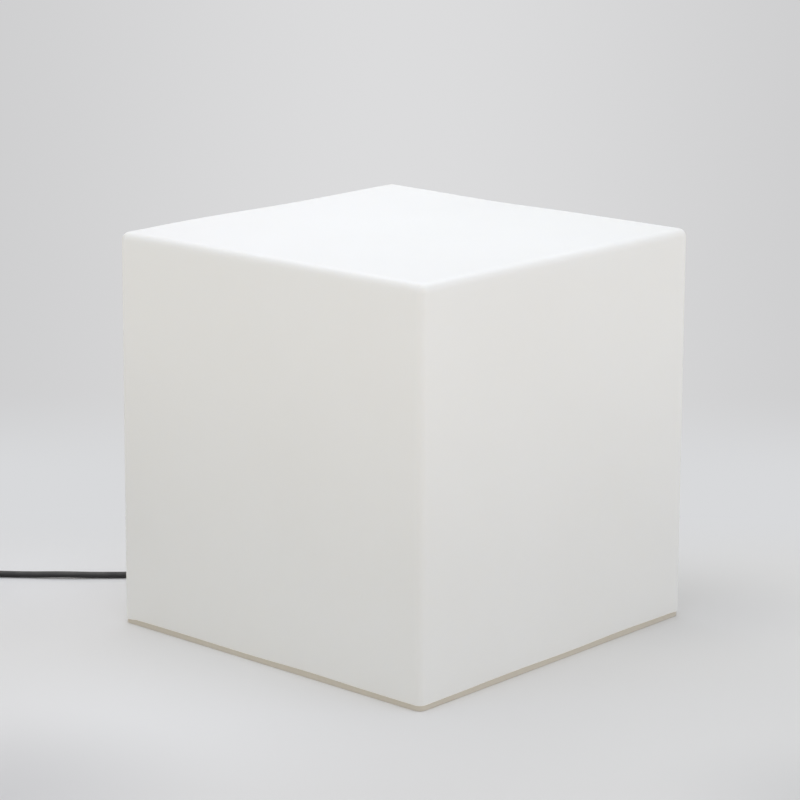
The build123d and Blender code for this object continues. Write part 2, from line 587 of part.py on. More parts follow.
with BuildPart() as terminal_screws:
    with BuildSketch(Plane.XZ.offset(TERMINAL_WIDTH / 2)):
        with Locations((TERMINAL_OFFSET, core_bottom - TERMINAL_HEIGHT / 2),
                       (-TERMINAL_OFFSET, core_bottom - TERMINAL_HEIGHT / 2)):
            Circle(TERMINAL_SCREW_HEAD)
    extrude(amount=1.4)
    with BuildSketch(Plane.XZ.offset(TERMINAL_WIDTH / 2)):
        with Locations((TERMINAL_OFFSET, core_bottom - TERMINAL_HEIGHT / 2),
                       (-TERMINAL_OFFSET, core_bottom - TERMINAL_HEIGHT / 2)):
            Circle(TERMINAL_SCREW_RADIUS)
    extrude(amount=-TERMINAL_WIDTH / 2 + CORE_RADIUS + PIN_GAP)
    with BuildSketch(Plane.XZ.offset(TERMINAL_WIDTH / 2 + 1.4)):
        with Locations((TERMINAL_OFFSET, core_bottom - TERMINAL_HEIGHT / 2),
                       (-TERMINAL_OFFSET, core_bottom - TERMINAL_HEIGHT / 2)):
            Rectangle(3.6, 0.6)
    extrude(amount=-0.7, mode=Mode.SUBTRACT)
terminal_screws.part.label = "terminal_screws"

# ---- The bulb ---------------------------------------------------------------------------------
with BuildPart() as bulb_eyelet:
    with BuildSketch(Plane.XY.offset(bulb_tip)):
        Circle(EYELET_RADIUS)
    extrude(amount=EYELET_HEIGHT)
    chamfer(bulb_eyelet.edges().group_by(Axis.Z)[0], length=0.6)
bulb_eyelet.part.label = "bulb_eyelet"

with BuildPart() as bulb_insulator:
    with BuildSketch(Plane.XY.offset(eyelet_top)):
        Circle(EYELET_RADIUS + 1.0)
    with BuildSketch(Plane.XY.offset(bulb_cap_bottom)):
        Circle(CAP_RADIUS - CAP_WALL - CAP_THREAD_DEPTH - 1.0)
    loft()
bulb_insulator.part.label = "bulb_insulator"

with BuildPart() as bulb_cap:
    root_radius = CAP_RADIUS - CAP_THREAD_DEPTH
    inner_radius = root_radius - CAP_WALL
    wave = [(root_radius, bulb_cap_bottom)]
    for ring in range(CAP_RINGS):
        ring_height = bulb_cap_bottom + 0.8 + ring * CAP_PITCH
        wave += [
            (root_radius, ring_height),
            (CAP_RADIUS, ring_height + 0.3 * CAP_PITCH),
            (CAP_RADIUS, ring_height + 0.6 * CAP_PITCH),
            (root_radius, ring_height + 0.9 * CAP_PITCH),
        ]
    wave += [(root_radius, bulb_cap_top), (inner_radius, bulb_cap_top)]
    wave += [(inner_radius, bulb_cap_bottom + CAP_WALL), (inner_radius - 2.0, bulb_cap_bottom + CAP_WALL)]
    wave += [(inner_radius - 2.0, bulb_cap_bottom)]
    with BuildSketch(Plane.XZ):
        with BuildLine():
            Polyline(*wave, close=True)
        make_face()
    revolve(axis=Axis.Z)
bulb_cap.part.label = "bulb_cap"

with BuildPart() as bulb_body:
    shoulder = BODY_SHOULDER_RADIUS
    with BuildSketch(Plane.XZ):
        with BuildLine():
            outer = Line((BODY_NECK_RADIUS, bulb_cap_top), (BODY_NECK_RADIUS + 0.8, bulb_cap_top + 6))
            flare = TangentArc(outer @ 1, (shoulder, body_top - 6), tangent=outer % 1)
            Polyline(
                flare @ 1,
                (shoulder, body_top),
                (shoulder - BODY_WALL, body_top),
                (shoulder - BODY_WALL, board_bottom),
                (shoulder - 2 * BODY_WALL, board_bottom),
                (shoulder - 2 * BODY_WALL - 1.0, board_bottom - 5.0),
                (BODY_NECK_RADIUS - BODY_WALL - 1.0, bulb_cap_top + 3.0),
                (body_spigot_radius - BODY_WALL, bulb_cap_top),
                (body_spigot_radius - BODY_WALL, bulb_cap_top - BODY_SPIGOT),
                (body_spigot_radius, bulb_cap_top - BODY_SPIGOT),
                (body_spigot_radius, bulb_cap_top),
                outer @ 0,
            )
        make_face()
    revolve(axis=Axis.Z)
bulb_body.part.label = "bulb_body"

with BuildPart() as led_board:
    with BuildSketch(Plane.XY.offset(board_bottom)):
        Circle(BODY_SHOULDER_RADIUS - BODY_WALL - FIT_GAP)
        Circle(3.0, mode=Mode.SUBTRACT)
    extrude(amount=BOARD_THICKNESS)
led_board.part.label = "led_board"

with BuildPart() as led_chips:
    with BuildSketch(Plane.XY.offset(board_bottom + BOARD_THICKNESS)):
        with PolarLocations(CHIP_CIRCLE, CHIP_COUNT):
            Rectangle(CHIP_WIDTH, CHIP_LENGTH)
    extrude(amount=CHIP_HEIGHT)
led_chips.part.label = "led_chips"

with BuildPart() as driver_board:
    with BuildSketch(Plane.XY.offset(board_bottom - DRIVER_HEIGHT)):
        Rectangle(DRIVER_WIDTH, BOARD_THICKNESS)
    extrude(amount=DRIVER_HEIGHT - 0.5)
driver_board.part.label = "driver_board"

with BuildPart() as driver_parts:
    with BuildSketch(Plane.XY.offset(board_bottom - DRIVER_HEIGHT + CAPACITOR_RISE)):
        with Locations((-CAPACITOR_OFFSET, BOARD_THICKNESS / 2 + CAPACITOR_RADIUS)):
            Circle(CAPACITOR_RADIUS)
    extrude(amount=CAPACITOR_LENGTH)
    with BuildSketch(Plane.XY.offset(board_bottom - DRIVER_HEIGHT + CHOKE_RISE)):
        with Locations((CHOKE_OFFSET, BOARD_THICKNESS / 2 + CHOKE_DEPTH / 2)):
            Rectangle(CHOKE_WIDTH, CHOKE_DEPTH)
        with Locations((0, -BOARD_THICKNESS / 2 - RECTIFIER_DEPTH / 2)):
            Rectangle(RECTIFIER_WIDTH, RECTIFIER_DEPTH)
    extrude(amount=CHOKE_LENGTH)
driver_parts.part.label = "driver_parts"

with BuildPart() as bulb_dome:
    dome_height = bulb_top - body_top
    equator = body_top + dome_height - BULB_RADIUS
    rim_radius = BODY_SHOULDER_RADIUS
    inside = BULB_RADIUS - DOME_WALL
    with BuildSketch(Plane.XZ):
        with BuildLine():
            ThreePointArc(
                (rim_radius, body_top),
                (BULB_RADIUS - 0.25, equator - 5.5),
                (BULB_RADIUS, equator),
            )
            ThreePointArc(
                (BULB_RADIUS, equator),
                (BULB_RADIUS * math.sqrt(0.5), equator + BULB_RADIUS * math.sqrt(0.5)),
                (0, bulb_top),
            )
            Line((0, bulb_top), (0, bulb_top - DOME_WALL))
            ThreePointArc(
                (0, bulb_top - DOME_WALL),
                (inside * math.sqrt(0.5), equator + inside * math.sqrt(0.5)),
                (inside, equator),
            )
            ThreePointArc(
                (inside, equator),
                (inside - 0.25, equator - 5.5),
                (rim_radius - DOME_WALL, body_top),
            )
            Line((rim_radius - DOME_WALL, body_top), (rim_radius, body_top))
        make_face()
    revolve(axis=Axis.Z)
bulb_dome.part.label = "bulb_dome"

# ---- Wiring in the base -----------------------------------------------------------------------
with BuildPart() as strain_relief:
    with BuildSketch(Plane.YZ):
        with BuildLine():
            Polyline(
                (deck_bore - RELIEF_FLANGE, CORD_AXIS_HEIGHT + CORD_RADIUS + PIN_GAP),
                (deck_bore - RELIEF_FLANGE, CORD_AXIS_HEIGHT + RELIEF_NECK_RADIUS),
                (deck_bore - PIN_GAP, CORD_AXIS_HEIGHT + RELIEF_NECK_RADIUS),
                (deck_radius + FIT_GAP, CORD_AXIS_HEIGHT + RELIEF_NECK_RADIUS),
                (deck_radius + FIT_GAP, CORD_AXIS_HEIGHT + RELIEF_FLANGE_RADIUS),
                (deck_radius + RELIEF_FLANGE, CORD_AXIS_HEIGHT + RELIEF_FLANGE_RADIUS),
                (deck_radius + RELIEF_FLANGE, CORD_AXIS_HEIGHT + RELIEF_ROOT_RADIUS),
                (relief_end, CORD_AXIS_HEIGHT + RELIEF_TIP_RADIUS),
                (relief_end, CORD_AXIS_HEIGHT + CORD_RADIUS + PIN_GAP),
                close=True,
            )
        make_face()
    revolve(axis=Axis((0, 0, CORD_AXIS_HEIGHT), (0, 1, 0)))
strain_relief.part.label = "strain_relief"

with BuildPart() as inner_lead:
    with BuildSketch(Plane.XZ.offset(-SHEATH_END)):
        with Locations((0, CORD_AXIS_HEIGHT)):
            Circle(CORD_RADIUS)
    extrude(amount=-(relief_end - SHEATH_END))
inner_lead.part.label = "inner_lead"

clamp_top = CORD_AXIS_HEIGHT - CORD_RADIUS
clamp_places = [(CLAMP_SCREW_OFFSET, CLAMP_DISTANCE), (-CLAMP_SCREW_OFFSET, CLAMP_DISTANCE)]
with BuildPart() as cord_clamp:
    with BuildSketch(Plane.XY.offset(clamp_top - CLAMP_THICKNESS)):
        with Locations((0, CLAMP_DISTANCE)):
            RectangleRounded(CLAMP_LENGTH, CLAMP_WIDTH, CLAMP_WIDTH / 2 - 0.1)
        with Locations(*clamp_places):
            Circle(CLAMP_SCREW_SHANK + PIN_GAP, mode=Mode.SUBTRACT)
    extrude(amount=CLAMP_THICKNESS)
cord_clamp.part.label = "cord_clamp"

with BuildPart() as clamp_screws:
    with BuildSketch(Plane.XY.offset(clamp_top - CLAMP_THICKNESS)):
        with Locations(*clamp_places):
            Circle(CLAMP_SCREW_SHANK)
    extrude(amount=CLAMP_THICKNESS + 8.0)
clamp_screws.part.label = "clamp_screws"

block_bottom = deck_underside - BLOCK_HEIGHT
block_middle = BLOCK_NEAR + BLOCK_LENGTH / 2
way_height = block_bottom + BLOCK_HEIGHT / 2
way_places = [(BLOCK_WAY_OFFSET, way_height), (-BLOCK_WAY_OFFSET, way_height)]
screw_places = [
    (side * BLOCK_WAY_OFFSET, block_middle + along * BLOCK_SCREW_SPACING / 2)
    for side in (1, -1)
    for along in (1, -1)
]
with BuildPart() as terminal_block:
    with BuildSketch(Plane.XY.offset(block_bottom)):
        with Locations((0, block_middle)):
            Rectangle(BLOCK_WIDTH, BLOCK_LENGTH)
            Rectangle(1.2, BLOCK_LENGTH, mode=Mode.SUBTRACT)
    extrude(amount=BLOCK_HEIGHT - 2.0)
    with BuildSketch(Plane.XY.offset(block_bottom + BLOCK_HEIGHT - 2.0)):
        with Locations((0, block_middle)):
            Rectangle(BLOCK_WIDTH, BLOCK_LENGTH)
    extrude(amount=2.0)
    with BuildSketch(Plane.XY.offset(block_bottom)):
        with Locations(*screw_places):
            Circle(BLOCK_SCREW_RADIUS + PIN_GAP)
    extrude(amount=3.0, mode=Mode.SUBTRACT)
terminal_block.part.label = "terminal_block"

with BuildPart() as block_screws:
    with BuildSketch(Plane.XY.offset(block_bottom + 0.6)):
        with Locations(*screw_places):
            Circle(BLOCK_SCREW_RADIUS)
    extrude(amount=2.4)
    with BuildSketch(Plane.XY.offset(block_bottom + 0.6)):
        with Locations(*screw_places):
            Rectangle(2.8, 0.6)
    extrude(amount=0.8, mode=Mode.SUBTRACT)
block_screws.part.label = "block_screws"


def wire(route, radius):
    """Sweeps a round wire along straight runs joined by tangent arcs."""
    with BuildPart() as tube:
        with BuildLine() as line:
            FilletPolyline(*route, radius=corner_radii(route))
        path = line.wire()
        with BuildSketch(Plane(origin=path @ 0, z_dir=path % 0)):
            Circle(radius)
        sweep()
    return tube, path


for side, supply_name, lamp_name in ((1, "supply_live", "lamp_live"), (-1, "supply_neutral", "lamp_neutral")):
    supply_route = [
        (side * SUPPLY_SPREAD, SHEATH_END, CORD_AXIS_HEIGHT),
        (side * SUPPLY_SPREAD, SHEATH_END - WIRE_END_RUN, CORD_AXIS_HEIGHT),
        (side * BLOCK_WAY_OFFSET, BLOCK_NEAR + BLOCK_LENGTH + WIRE_END_RUN, way_height),
        (side * BLOCK_WAY_OFFSET, BLOCK_NEAR + BLOCK_LENGTH, way_height),
    ]
    supply_wire, supply_line = wire(supply_route, CORE_RADIUS)
    supply_wire.part.label = supply_name
    export_step(supply_wire.part, f"parts/{supply_name}.step")
    lamp_route = [
        (side * BLOCK_WAY_OFFSET, BLOCK_NEAR, way_height),
        (side * BLOCK_WAY_OFFSET, BLOCK_NEAR - LAMP_WIRE_RUN, way_height),
        (side * CORE_SPREAD, LAMP_WIRE_RUN, way_height),
        (side * CORE_SPREAD, 0.0, way_height),
        (side * CORE_SPREAD, 0.0, nipple_top + WIRE_RISE),
        (side * TERMINAL_OFFSET, 0.0, core_bottom - TERMINAL_HEIGHT - WIRE_END_RUN),
        (side * TERMINAL_OFFSET, 0.0, core_bottom - WIRE_GRIP),
    ]
    lamp_wire, lamp_line = wire(lamp_route, CORE_RADIUS)
    lamp_wire.part.label = lamp_name
    export_step(lamp_wire.part, f"parts/{lamp_name}.step")
    report_tube(supply_name, supply_wire.part, supply_line, CORE_RADIUS)
    report_tube(lamp_name, lamp_wire.part, lamp_line, CORE_RADIUS)

# ---- The cord, its coil and its plug ----------------------------------------------------------
print("cord radii", [round(radius, 1) for radius in corner_radii(FREE_ROUTE)])
power_cord, cord_line = wire(FREE_ROUTE, CORD_RADIUS)
power_cord.part.label = "power_cord"
report_tube("power_cord", power_cord.part, cord_line, CORD_RADIUS)


def biarc(start, start_way, end, end_way):
    """Joins two places and their directions by two tangent arcs."""
    across = end - start
    both_ways = start_way + end_way
    square = 2 * (1 - start_way.dot(end_way))
    linear = 2 * across.dot(both_ways)
    reach = (-linear + math.sqrt(linear**2 + 4 * square * across.dot(across))) / (2 * square)
    first_corner = start + start_way * reach
    last_corner = end - end_way * reach
    middle = (first_corner + last_corner) * 0.5
    TangentArc(start, middle, tangent=start_way)
    TangentArc(middle, end, tangent=last_corner - first_corner)


# The free cord runs into the outer turn. The turns go to the left, layer on layer.
cord_end = Vector(FREE_ROUTE[-1])
entry_heading = math.atan2(
    FREE_ROUTE[-1][1] - FREE_ROUTE[-2][1],
    FREE_ROUTE[-1][0] - FREE_ROUTE[-2][0],
)


def heading_vector(heading, slope=0.0):
    """Unit direction at a heading in the floor's plane, climbing by a slope in radians."""
    return Vector(
        math.cos(heading) * math.cos(slope),
        math.sin(heading) * math.cos(slope),
        math.sin(slope),
    )


coil_start = cord_end + heading_vector(entry_heading) * cord_diameter
coil_centre = coil_start + heading_vector(entry_heading + math.pi / 2) * COIL_RADIUS


def coil_place(heading, radius, height):
    """Place on the coil where the cord runs at this heading."""
    outward = heading_vector(heading - math.pi / 2) * radius
    return Vector(coil_centre.X + outward.X, coil_centre.Y + outward.Y, height)


def coil_nodes():
    """Half turns of each layer's spiral and quarter turns of each climb: heading, radius, height, slope."""
    heading, radius, height = entry_heading, COIL_RADIUS, FREE_ROUTE[-1][2]
    nodes = [(heading, radius, height, 0.0)]
    for layer in range(COIL_LAYERS):
        inward = -1 if layer % 2 == 0 else 1
        last_layer = layer == COIL_LAYERS - 1
        for _ in range(COIL_HALF_TURNS - last_layer):
            heading += math.pi
            radius += inward * COIL_PITCH / 2
            nodes.append((heading, radius, height, 0.0))
        if last_layer:
            nodes.append((heading + math.pi / 2, radius + COIL_PITCH / 4, height, 0.0))
            continue
        # Over the top of the climb the spiral turns back.
        turning_radius = radius + inward * COIL_PITCH / 4
        slope = math.atan2(COIL_PITCH, math.pi * radius)
        nodes.append((heading + math.pi / 2, turning_radius, height + COIL_PITCH / 2, slope))
        heading += math.pi
        height += COIL_PITCH
        nodes.append((heading, radius, height, 0.0))
    return nodes


with BuildPart() as cord_coil:
    with BuildLine() as coil_line:
        Line(cord_end, coil_start)
        turns = coil_nodes()
        for (heading, radius, height, slope), (next_heading, next_radius, next_height, next_slope) in zip(
            turns, turns[1:]
        ):
            biarc(
                coil_place(heading, radius, height),
                heading_vector(heading, slope),
                coil_place(next_heading, next_radius, next_height),
                heading_vector(next_heading, next_slope),
            )
        tail_heading = turns[-1][0]
        coil_last = coil_place(*turns[-1][:3])
        coil_end = coil_last + heading_vector(tail_heading) * cord_diameter
        Line(coil_last, coil_end)
    coil_wire = coil_line.wire()
    with BuildSketch(Plane(origin=coil_wire @ 0, z_dir=coil_wire % 0)):
        Circle(CORD_RADIUS)
    sweep()
cord_coil.part.label = "cord_coil"
report_tube("cord_coil", cord_coil.part, coil_wire, CORD_RADIUS)
print("coil radii", round(min(turn[1] for turn in turns), 1), "to", round(max(turn[1] for turn in turns), 1))


# A strap round the bundle of turns. The turns lie on its thickness, just off the floor.
tie_way = heading_vector(entry_heading + TIE_TURN)
tie_outward = heading_vector(entry_heading + TIE_TURN - math.pi / 2)
inner_reach = min(turn[1] for turn in turns) - CORD_RADIUS
outer_reach = max(turn[1] for turn in turns) + CORD_RADIUS
tie_near = math.sqrt(inner_reach**2 - (TIE_WIDTH / 2) ** 2) - TIE_GAP
tie_far = outer_reach + TIE_GAP
tie_low = FREE_ROUTE[-1][2] - CORD_RADIUS - TIE_GAP
tie_high = FREE_ROUTE[-1][2] + (COIL_LAYERS - 1) * COIL_PITCH + CORD_RADIUS + TIE_GAP
tie_middle = coil_centre + tie_outward * ((tie_near + tie_far) / 2)
tie_plane = Plane(
    origin=(tie_middle.X, tie_middle.Y, (tie_low + tie_high) / 2),
    x_dir=tie_outward,
    z_dir=tie_way,
)
with BuildPart() as cord_tie:
    with BuildSketch(tie_plane.offset(-TIE_WIDTH / 2)):
        RectangleRounded(
            tie_far - tie_near + 2 * TIE_THICKNESS,
            tie_high - tie_low + 2 * TIE_THICKNESS,
            CORD_RADIUS / 2 + TIE_THICKNESS,
        )
        RectangleRounded(tie_far - tie_near, tie_high - tie_low, CORD_RADIUS / 2, mode=Mode.SUBTRACT)
    extrude(amount=TIE_WIDTH)
cord_tie.part.label = "cord_tie"
print("tie height", round(tie_low - TIE_THICKNESS, 2), "to", round(tie_high + TIE_THICKNESS, 2))


def least_gap(line, step):
    """Least gap of the coil to itself, measured on points along it more than two diameters apart."""
    count = int(line.length / step)
    places = [line @ (index / count) for index in range(count + 1)]
    skip = int(3 * cord_diameter / step)
    least = min(
        (places[first] - places[second]).length
        for first in range(len(places))
        for second in range(first + skip, len(places))
    )
    return least - cord_diameter


print("coil least gap", round(least_gap(coil_wire, 4.0), 2))

tail_way = heading_vector(tail_heading)
tail_drop = Vector(0, 0, PLUG_AXIS_HEIGHT - coil_end.Z)
tail_route = [
    tuple(coil_end),
    tuple(coil_end + tail_way * TAIL_RUN),
    tuple(coil_end + tail_way * 2.2 * TAIL_RUN + tail_drop),
    tuple(coil_end + tail_way * 3.2 * TAIL_RUN + tail_drop),
]
print("tail radii", [round(radius, 1) for radius in corner_radii(tail_route)])
cord_tail, tail_line = wire(tail_route, CORD_RADIUS)
cord_tail.part.label = "cord_tail"
report_tube("cord_tail", cord_tail.part, tail_line, CORD_RADIUS)
print("whole cord", round(cord_line.length + coil_wire.length + tail_line.length, 0))
print("tail route", [tuple(round(value, 1) for value in place) for place in tail_route])

plug_entry = Vector(*tail_route[-1])
plug_plane = Plane(origin=plug_entry, x_dir=heading_vector(tail_heading + math.pi / 2), z_dir=tail_way)
plug_face = PLUG_NECK_LENGTH + PLUG_LENGTH
pin_places = [(PIN_SPACING / 2, 0), (-PIN_SPACING / 2, 0)]

with BuildPart() as plug_body:
    with BuildSketch(plug_plane):
        Circle(PLUG_NECK_RADIUS)
    with BuildSketch(plug_plane.offset(PLUG_NECK_LENGTH)):
        Circle(PLUG_NECK_ROOT)
    loft()
    with BuildSketch(plug_plane.offset(PLUG_NECK_LENGTH)):
        RectangleRounded(PLUG_WIDTH * PLUG_WAIST, PLUG_HEIGHT * PLUG_WAIST, PLUG_CORNER * PLUG_WAIST)
    with BuildSketch(plug_plane.offset(PLUG_NECK_LENGTH + PLUG_LENGTH * 0.55)):
        RectangleRounded(PLUG_WIDTH, PLUG_HEIGHT, PLUG_CORNER)
    loft()
    with BuildSketch(plug_plane.offset(PLUG_NECK_LENGTH + PLUG_LENGTH * 0.55)):
        RectangleRounded(PLUG_WIDTH, PLUG_HEIGHT, PLUG_CORNER)
    extrude(amount=PLUG_LENGTH * 0.45)
    with BuildSketch(plug_plane.offset(plug_face - PIN_ROOT)):
        with Locations(*pin_places):
            Circle(PIN_ROOT_RADIUS)
    extrude(amount=PIN_ROOT, mode=Mode.SUBTRACT)
plug_body.part.label = "plug_body"

with BuildPart() as plug_pins:
    with BuildSketch(plug_plane.offset(plug_face - PIN_ROOT)):
        with Locations(*pin_places):
            Circle(PIN_ROOT_RADIUS)
    extrude(amount=PIN_ROOT)
    with BuildSketch(plug_plane.offset(plug_face)):
        with Locations(*pin_places):
            Circle(PIN_RADIUS)
    extrude(amount=PIN_LENGTH)
    tips = plug_pins.edges().group_by(Axis(plug_entry, tail_way))[-1]
    fillet(tips, radius=PIN_TIP)
plug_pins.part.label = "plug_pins"

for index, (x, y) in enumerate(pin_places):
    middle = plug_plane.from_local_coords(Vector(x, y, plug_face + (PIN_LENGTH - PIN_TIP) / 2))
    print("pin", index, "middle", tuple(round(value, 3) for value in middle), "way", tuple(tail_way))

for piece in (
    diffuser_cube, lamp_base, base_gasket, base_cover, cover_screws, rubber_feet, lamp_pillar,
    pillar_screws, holder_nipple, nipple_nuts, holder_cap, holder_barrel, holder_core, screw_sleeve,
    contact_tongue, holder_terminals, terminal_screws, bulb_eyelet, bulb_insulator, bulb_cap, bulb_body,
    led_board, led_chips, driver_board, driver_parts, bulb_dome, strain_relief, inner_lead, cord_clamp,
    clamp_screws, terminal_block, block_screws, power_cord, cord_coil, cord_tie, cord_tail,
    plug_body, plug_pins,
):
    export_step(piece.part, f"parts/{piece.part.label}.step")
    print(piece.part.label, len(piece.part.solids()), "solids", round(piece.part.volume))
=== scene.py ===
"""Outdoor cube light: soft moulded cube, lamp base, lampholder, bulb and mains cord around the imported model.

Metres, +Z up. The origin is on the floor under the middle of the cube, and the cord leaves at +Y.
"""

import logging
import math
from dataclasses import dataclass
from enum import Enum
from typing import Iterable, Sequence

import bmesh
import bpy
import numpy as np
from mathutils import Matrix, Vector


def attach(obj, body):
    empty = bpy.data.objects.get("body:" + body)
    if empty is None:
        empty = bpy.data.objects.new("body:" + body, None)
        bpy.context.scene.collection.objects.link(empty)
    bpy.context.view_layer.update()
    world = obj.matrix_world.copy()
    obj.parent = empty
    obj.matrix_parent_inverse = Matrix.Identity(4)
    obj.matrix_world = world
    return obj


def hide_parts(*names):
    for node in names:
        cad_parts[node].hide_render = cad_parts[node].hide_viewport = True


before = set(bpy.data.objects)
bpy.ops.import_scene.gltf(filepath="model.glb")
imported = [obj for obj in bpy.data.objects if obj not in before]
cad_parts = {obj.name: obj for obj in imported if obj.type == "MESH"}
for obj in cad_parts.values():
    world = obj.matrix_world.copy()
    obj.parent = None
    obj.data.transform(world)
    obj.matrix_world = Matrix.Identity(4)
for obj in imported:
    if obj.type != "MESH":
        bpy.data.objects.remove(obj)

logging.basicConfig(level=logging.INFO, format="%(name)s: %(message)s")
log = logging.getLogger("cube_light")

Colour = tuple[float, float, float]
Point = tuple[float, float, float]
Grid = np.ndarray
Socket = bpy.types.NodeSocket


# ---- Colours ------------------------------------------------------------------------------------


def linear(red: float, green: float, blue: float) -> Colour:
    """Turns screen values of 0 to 255 into linear light.

    Args:
        red: Screen value of red.
        green: Screen value of green.
        blue: Screen value of blue.

    Returns:
        The three linear values.
    """
    values = np.array([red, green, blue]) / 255.0
    low, high = values / 12.92, ((values + 0.055) / 1.055) ** 2.4
    return tuple(float(value) for value in np.where(values <= 0.04045, low, high))


# ---- Mesh helpers -------------------------------------------------------------------------------


class Seam(Enum):
    """How a grid of points closes on itself."""

    OPEN = (False, False)
    ROUND = (True, False)
    RING = (True, True)


def grid_faces(rows: int, columns: int, seam: Seam, first: int = 0) -> np.ndarray:
    """Lists the four-sided faces of a grid whose points are stored row by row.

    Args:
        rows: Rows of points.
        columns: Points in a row.
        seam: Whether the last column joins the first, and the last row the first.
        first: Number of the grid's first point.

    Returns:
        Array of faces by four point numbers.
    """
    wrap_columns, wrap_rows = seam.value
    row = np.arange(rows if wrap_rows else rows - 1)[:, None]
    column = np.arange(columns if wrap_columns else columns - 1)[None, :]
    next_row, next_column = (row + 1) % rows, (column + 1) % columns
    corners = (
        row * columns + column,
        row * columns + next_column,
        next_row * columns + next_column,
        next_row * columns + column,
    )
    return np.stack(np.broadcast_arrays(*corners), -1).reshape(-1, 4) + first


def build_mesh(name: str, grids: Iterable[tuple[Grid, Seam]], crease: float = 35.0) -> bpy.types.Object:
    """Puts grids of points into one mesh, merges poles and seams, and turns the faces outwards.

    Args:
        name: Name of the new object.
        grids: Arrays of rows by columns by three, in metres, with how each closes.
        crease: Angle in degrees over which an edge is drawn sharp.

    Returns:
        The new object, at the origin.
    """
    points, faces, count = [], [], 0
    for grid, seam in grids:
        rows, columns = grid.shape[:2]
        points.append(grid.reshape(-1, 3))
        faces.append(grid_faces(rows, columns, seam, count))
        count += rows * columns
    mesh = bpy.data.meshes.new(name)
    mesh.from_pydata(np.concatenate(points), [], np.concatenate(faces))
    edit = bmesh.new()
    edit.from_mesh(mesh)
    bmesh.ops.remove_doubles(edit, verts=edit.verts, dist=1e-6)
    bmesh.ops.dissolve_degenerate(edit, edges=edit.edges, dist=1e-7)
    bmesh.ops.recalc_face_normals(edit, faces=edit.faces)
    edit.to_mesh(mesh)
    edit.free()
    piece = bpy.data.objects.new(name, mesh)
    bpy.context.scene.collection.objects.link(piece)
    soften(piece, crease)
    return piece


def soften(piece: bpy.types.Object, crease: float) -> None:
    """Shades a mesh smooth, apart from edges that turn by more than a crease angle in degrees."""
    mesh = piece.data
    mesh.polygons.foreach_set("use_smooth", np.ones(len(mesh.polygons), dtype=bool))
    mesh.set_sharp_from_angle(angle=math.radians(crease))


def revolve(profile: np.ndarray, segments: int) -> Grid:
    """Turns a profile about Z: each point (r, z) becomes a ring (r cos a, r sin a, z).

    Args:
        profile: Array of points by radius and height.
        segments: Points round the ring.

    Returns:
        Grid of profile points by ring points.
    """
    angle = np.linspace(0, 2 * math.pi, segments, endpoint=False)[None, :]
    radius, height = profile[:, 0][:, None], profile[:, 1][:, None]
    return np.stack(np.broadcast_arrays(radius * np.cos(angle), radius * np.sin(angle), height), -1)


def place(grid: Grid, origin: Sequence[float], along: Sequence[float]) -> Grid:
    """Turns a grid made round Z so that its Z runs along a level direction, and moves it.

    Args:
        grid: Grid of points.
        origin: Where the grid's own origin goes.
        along: Direction of the grid's Z.

    Returns:
        The placed grid.
    """
    third = np.array(along, float) / np.linalg.norm(along)
    first = np.cross((0.0, 0.0, 1.0), third)
    first /= np.linalg.norm(first)
    second = np.cross(third, first)
    return np.array(origin) + grid @ np.stack([first, second, third])


def rounded_profile(corners: Sequence[tuple[float, float, float]], steps: int = 6) -> np.ndarray:
    """Rounds the corners of a line of points with arcs that touch both runs.

    Args:
        corners: Points (r, z, corner radius), in metres, in order.
        steps: Points on each arc.

    Returns:
        Array of points by r and z.
    """
    line: list[np.ndarray] = []
    for index, (r, z, bend) in enumerate(corners):
        here = np.array([r, z])
        if bend <= 0 or index in (0, len(corners) - 1):
            line.append(here)
            continue
        back = np.array(corners[index - 1][:2]) - here
        ahead = np.array(corners[index + 1][:2]) - here
        back, ahead = back / np.linalg.norm(back), ahead / np.linalg.norm(ahead)
        share = np.linspace(0, 1, steps)[:, None]
        start, end = here + back * bend, here + ahead * bend
        line.extend((1 - share) ** 2 * start + 2 * share * (1 - share) * here + share**2 * end)
    return np.array(line)


# ---- Shared shader effects ----------------------------------------------------------------------


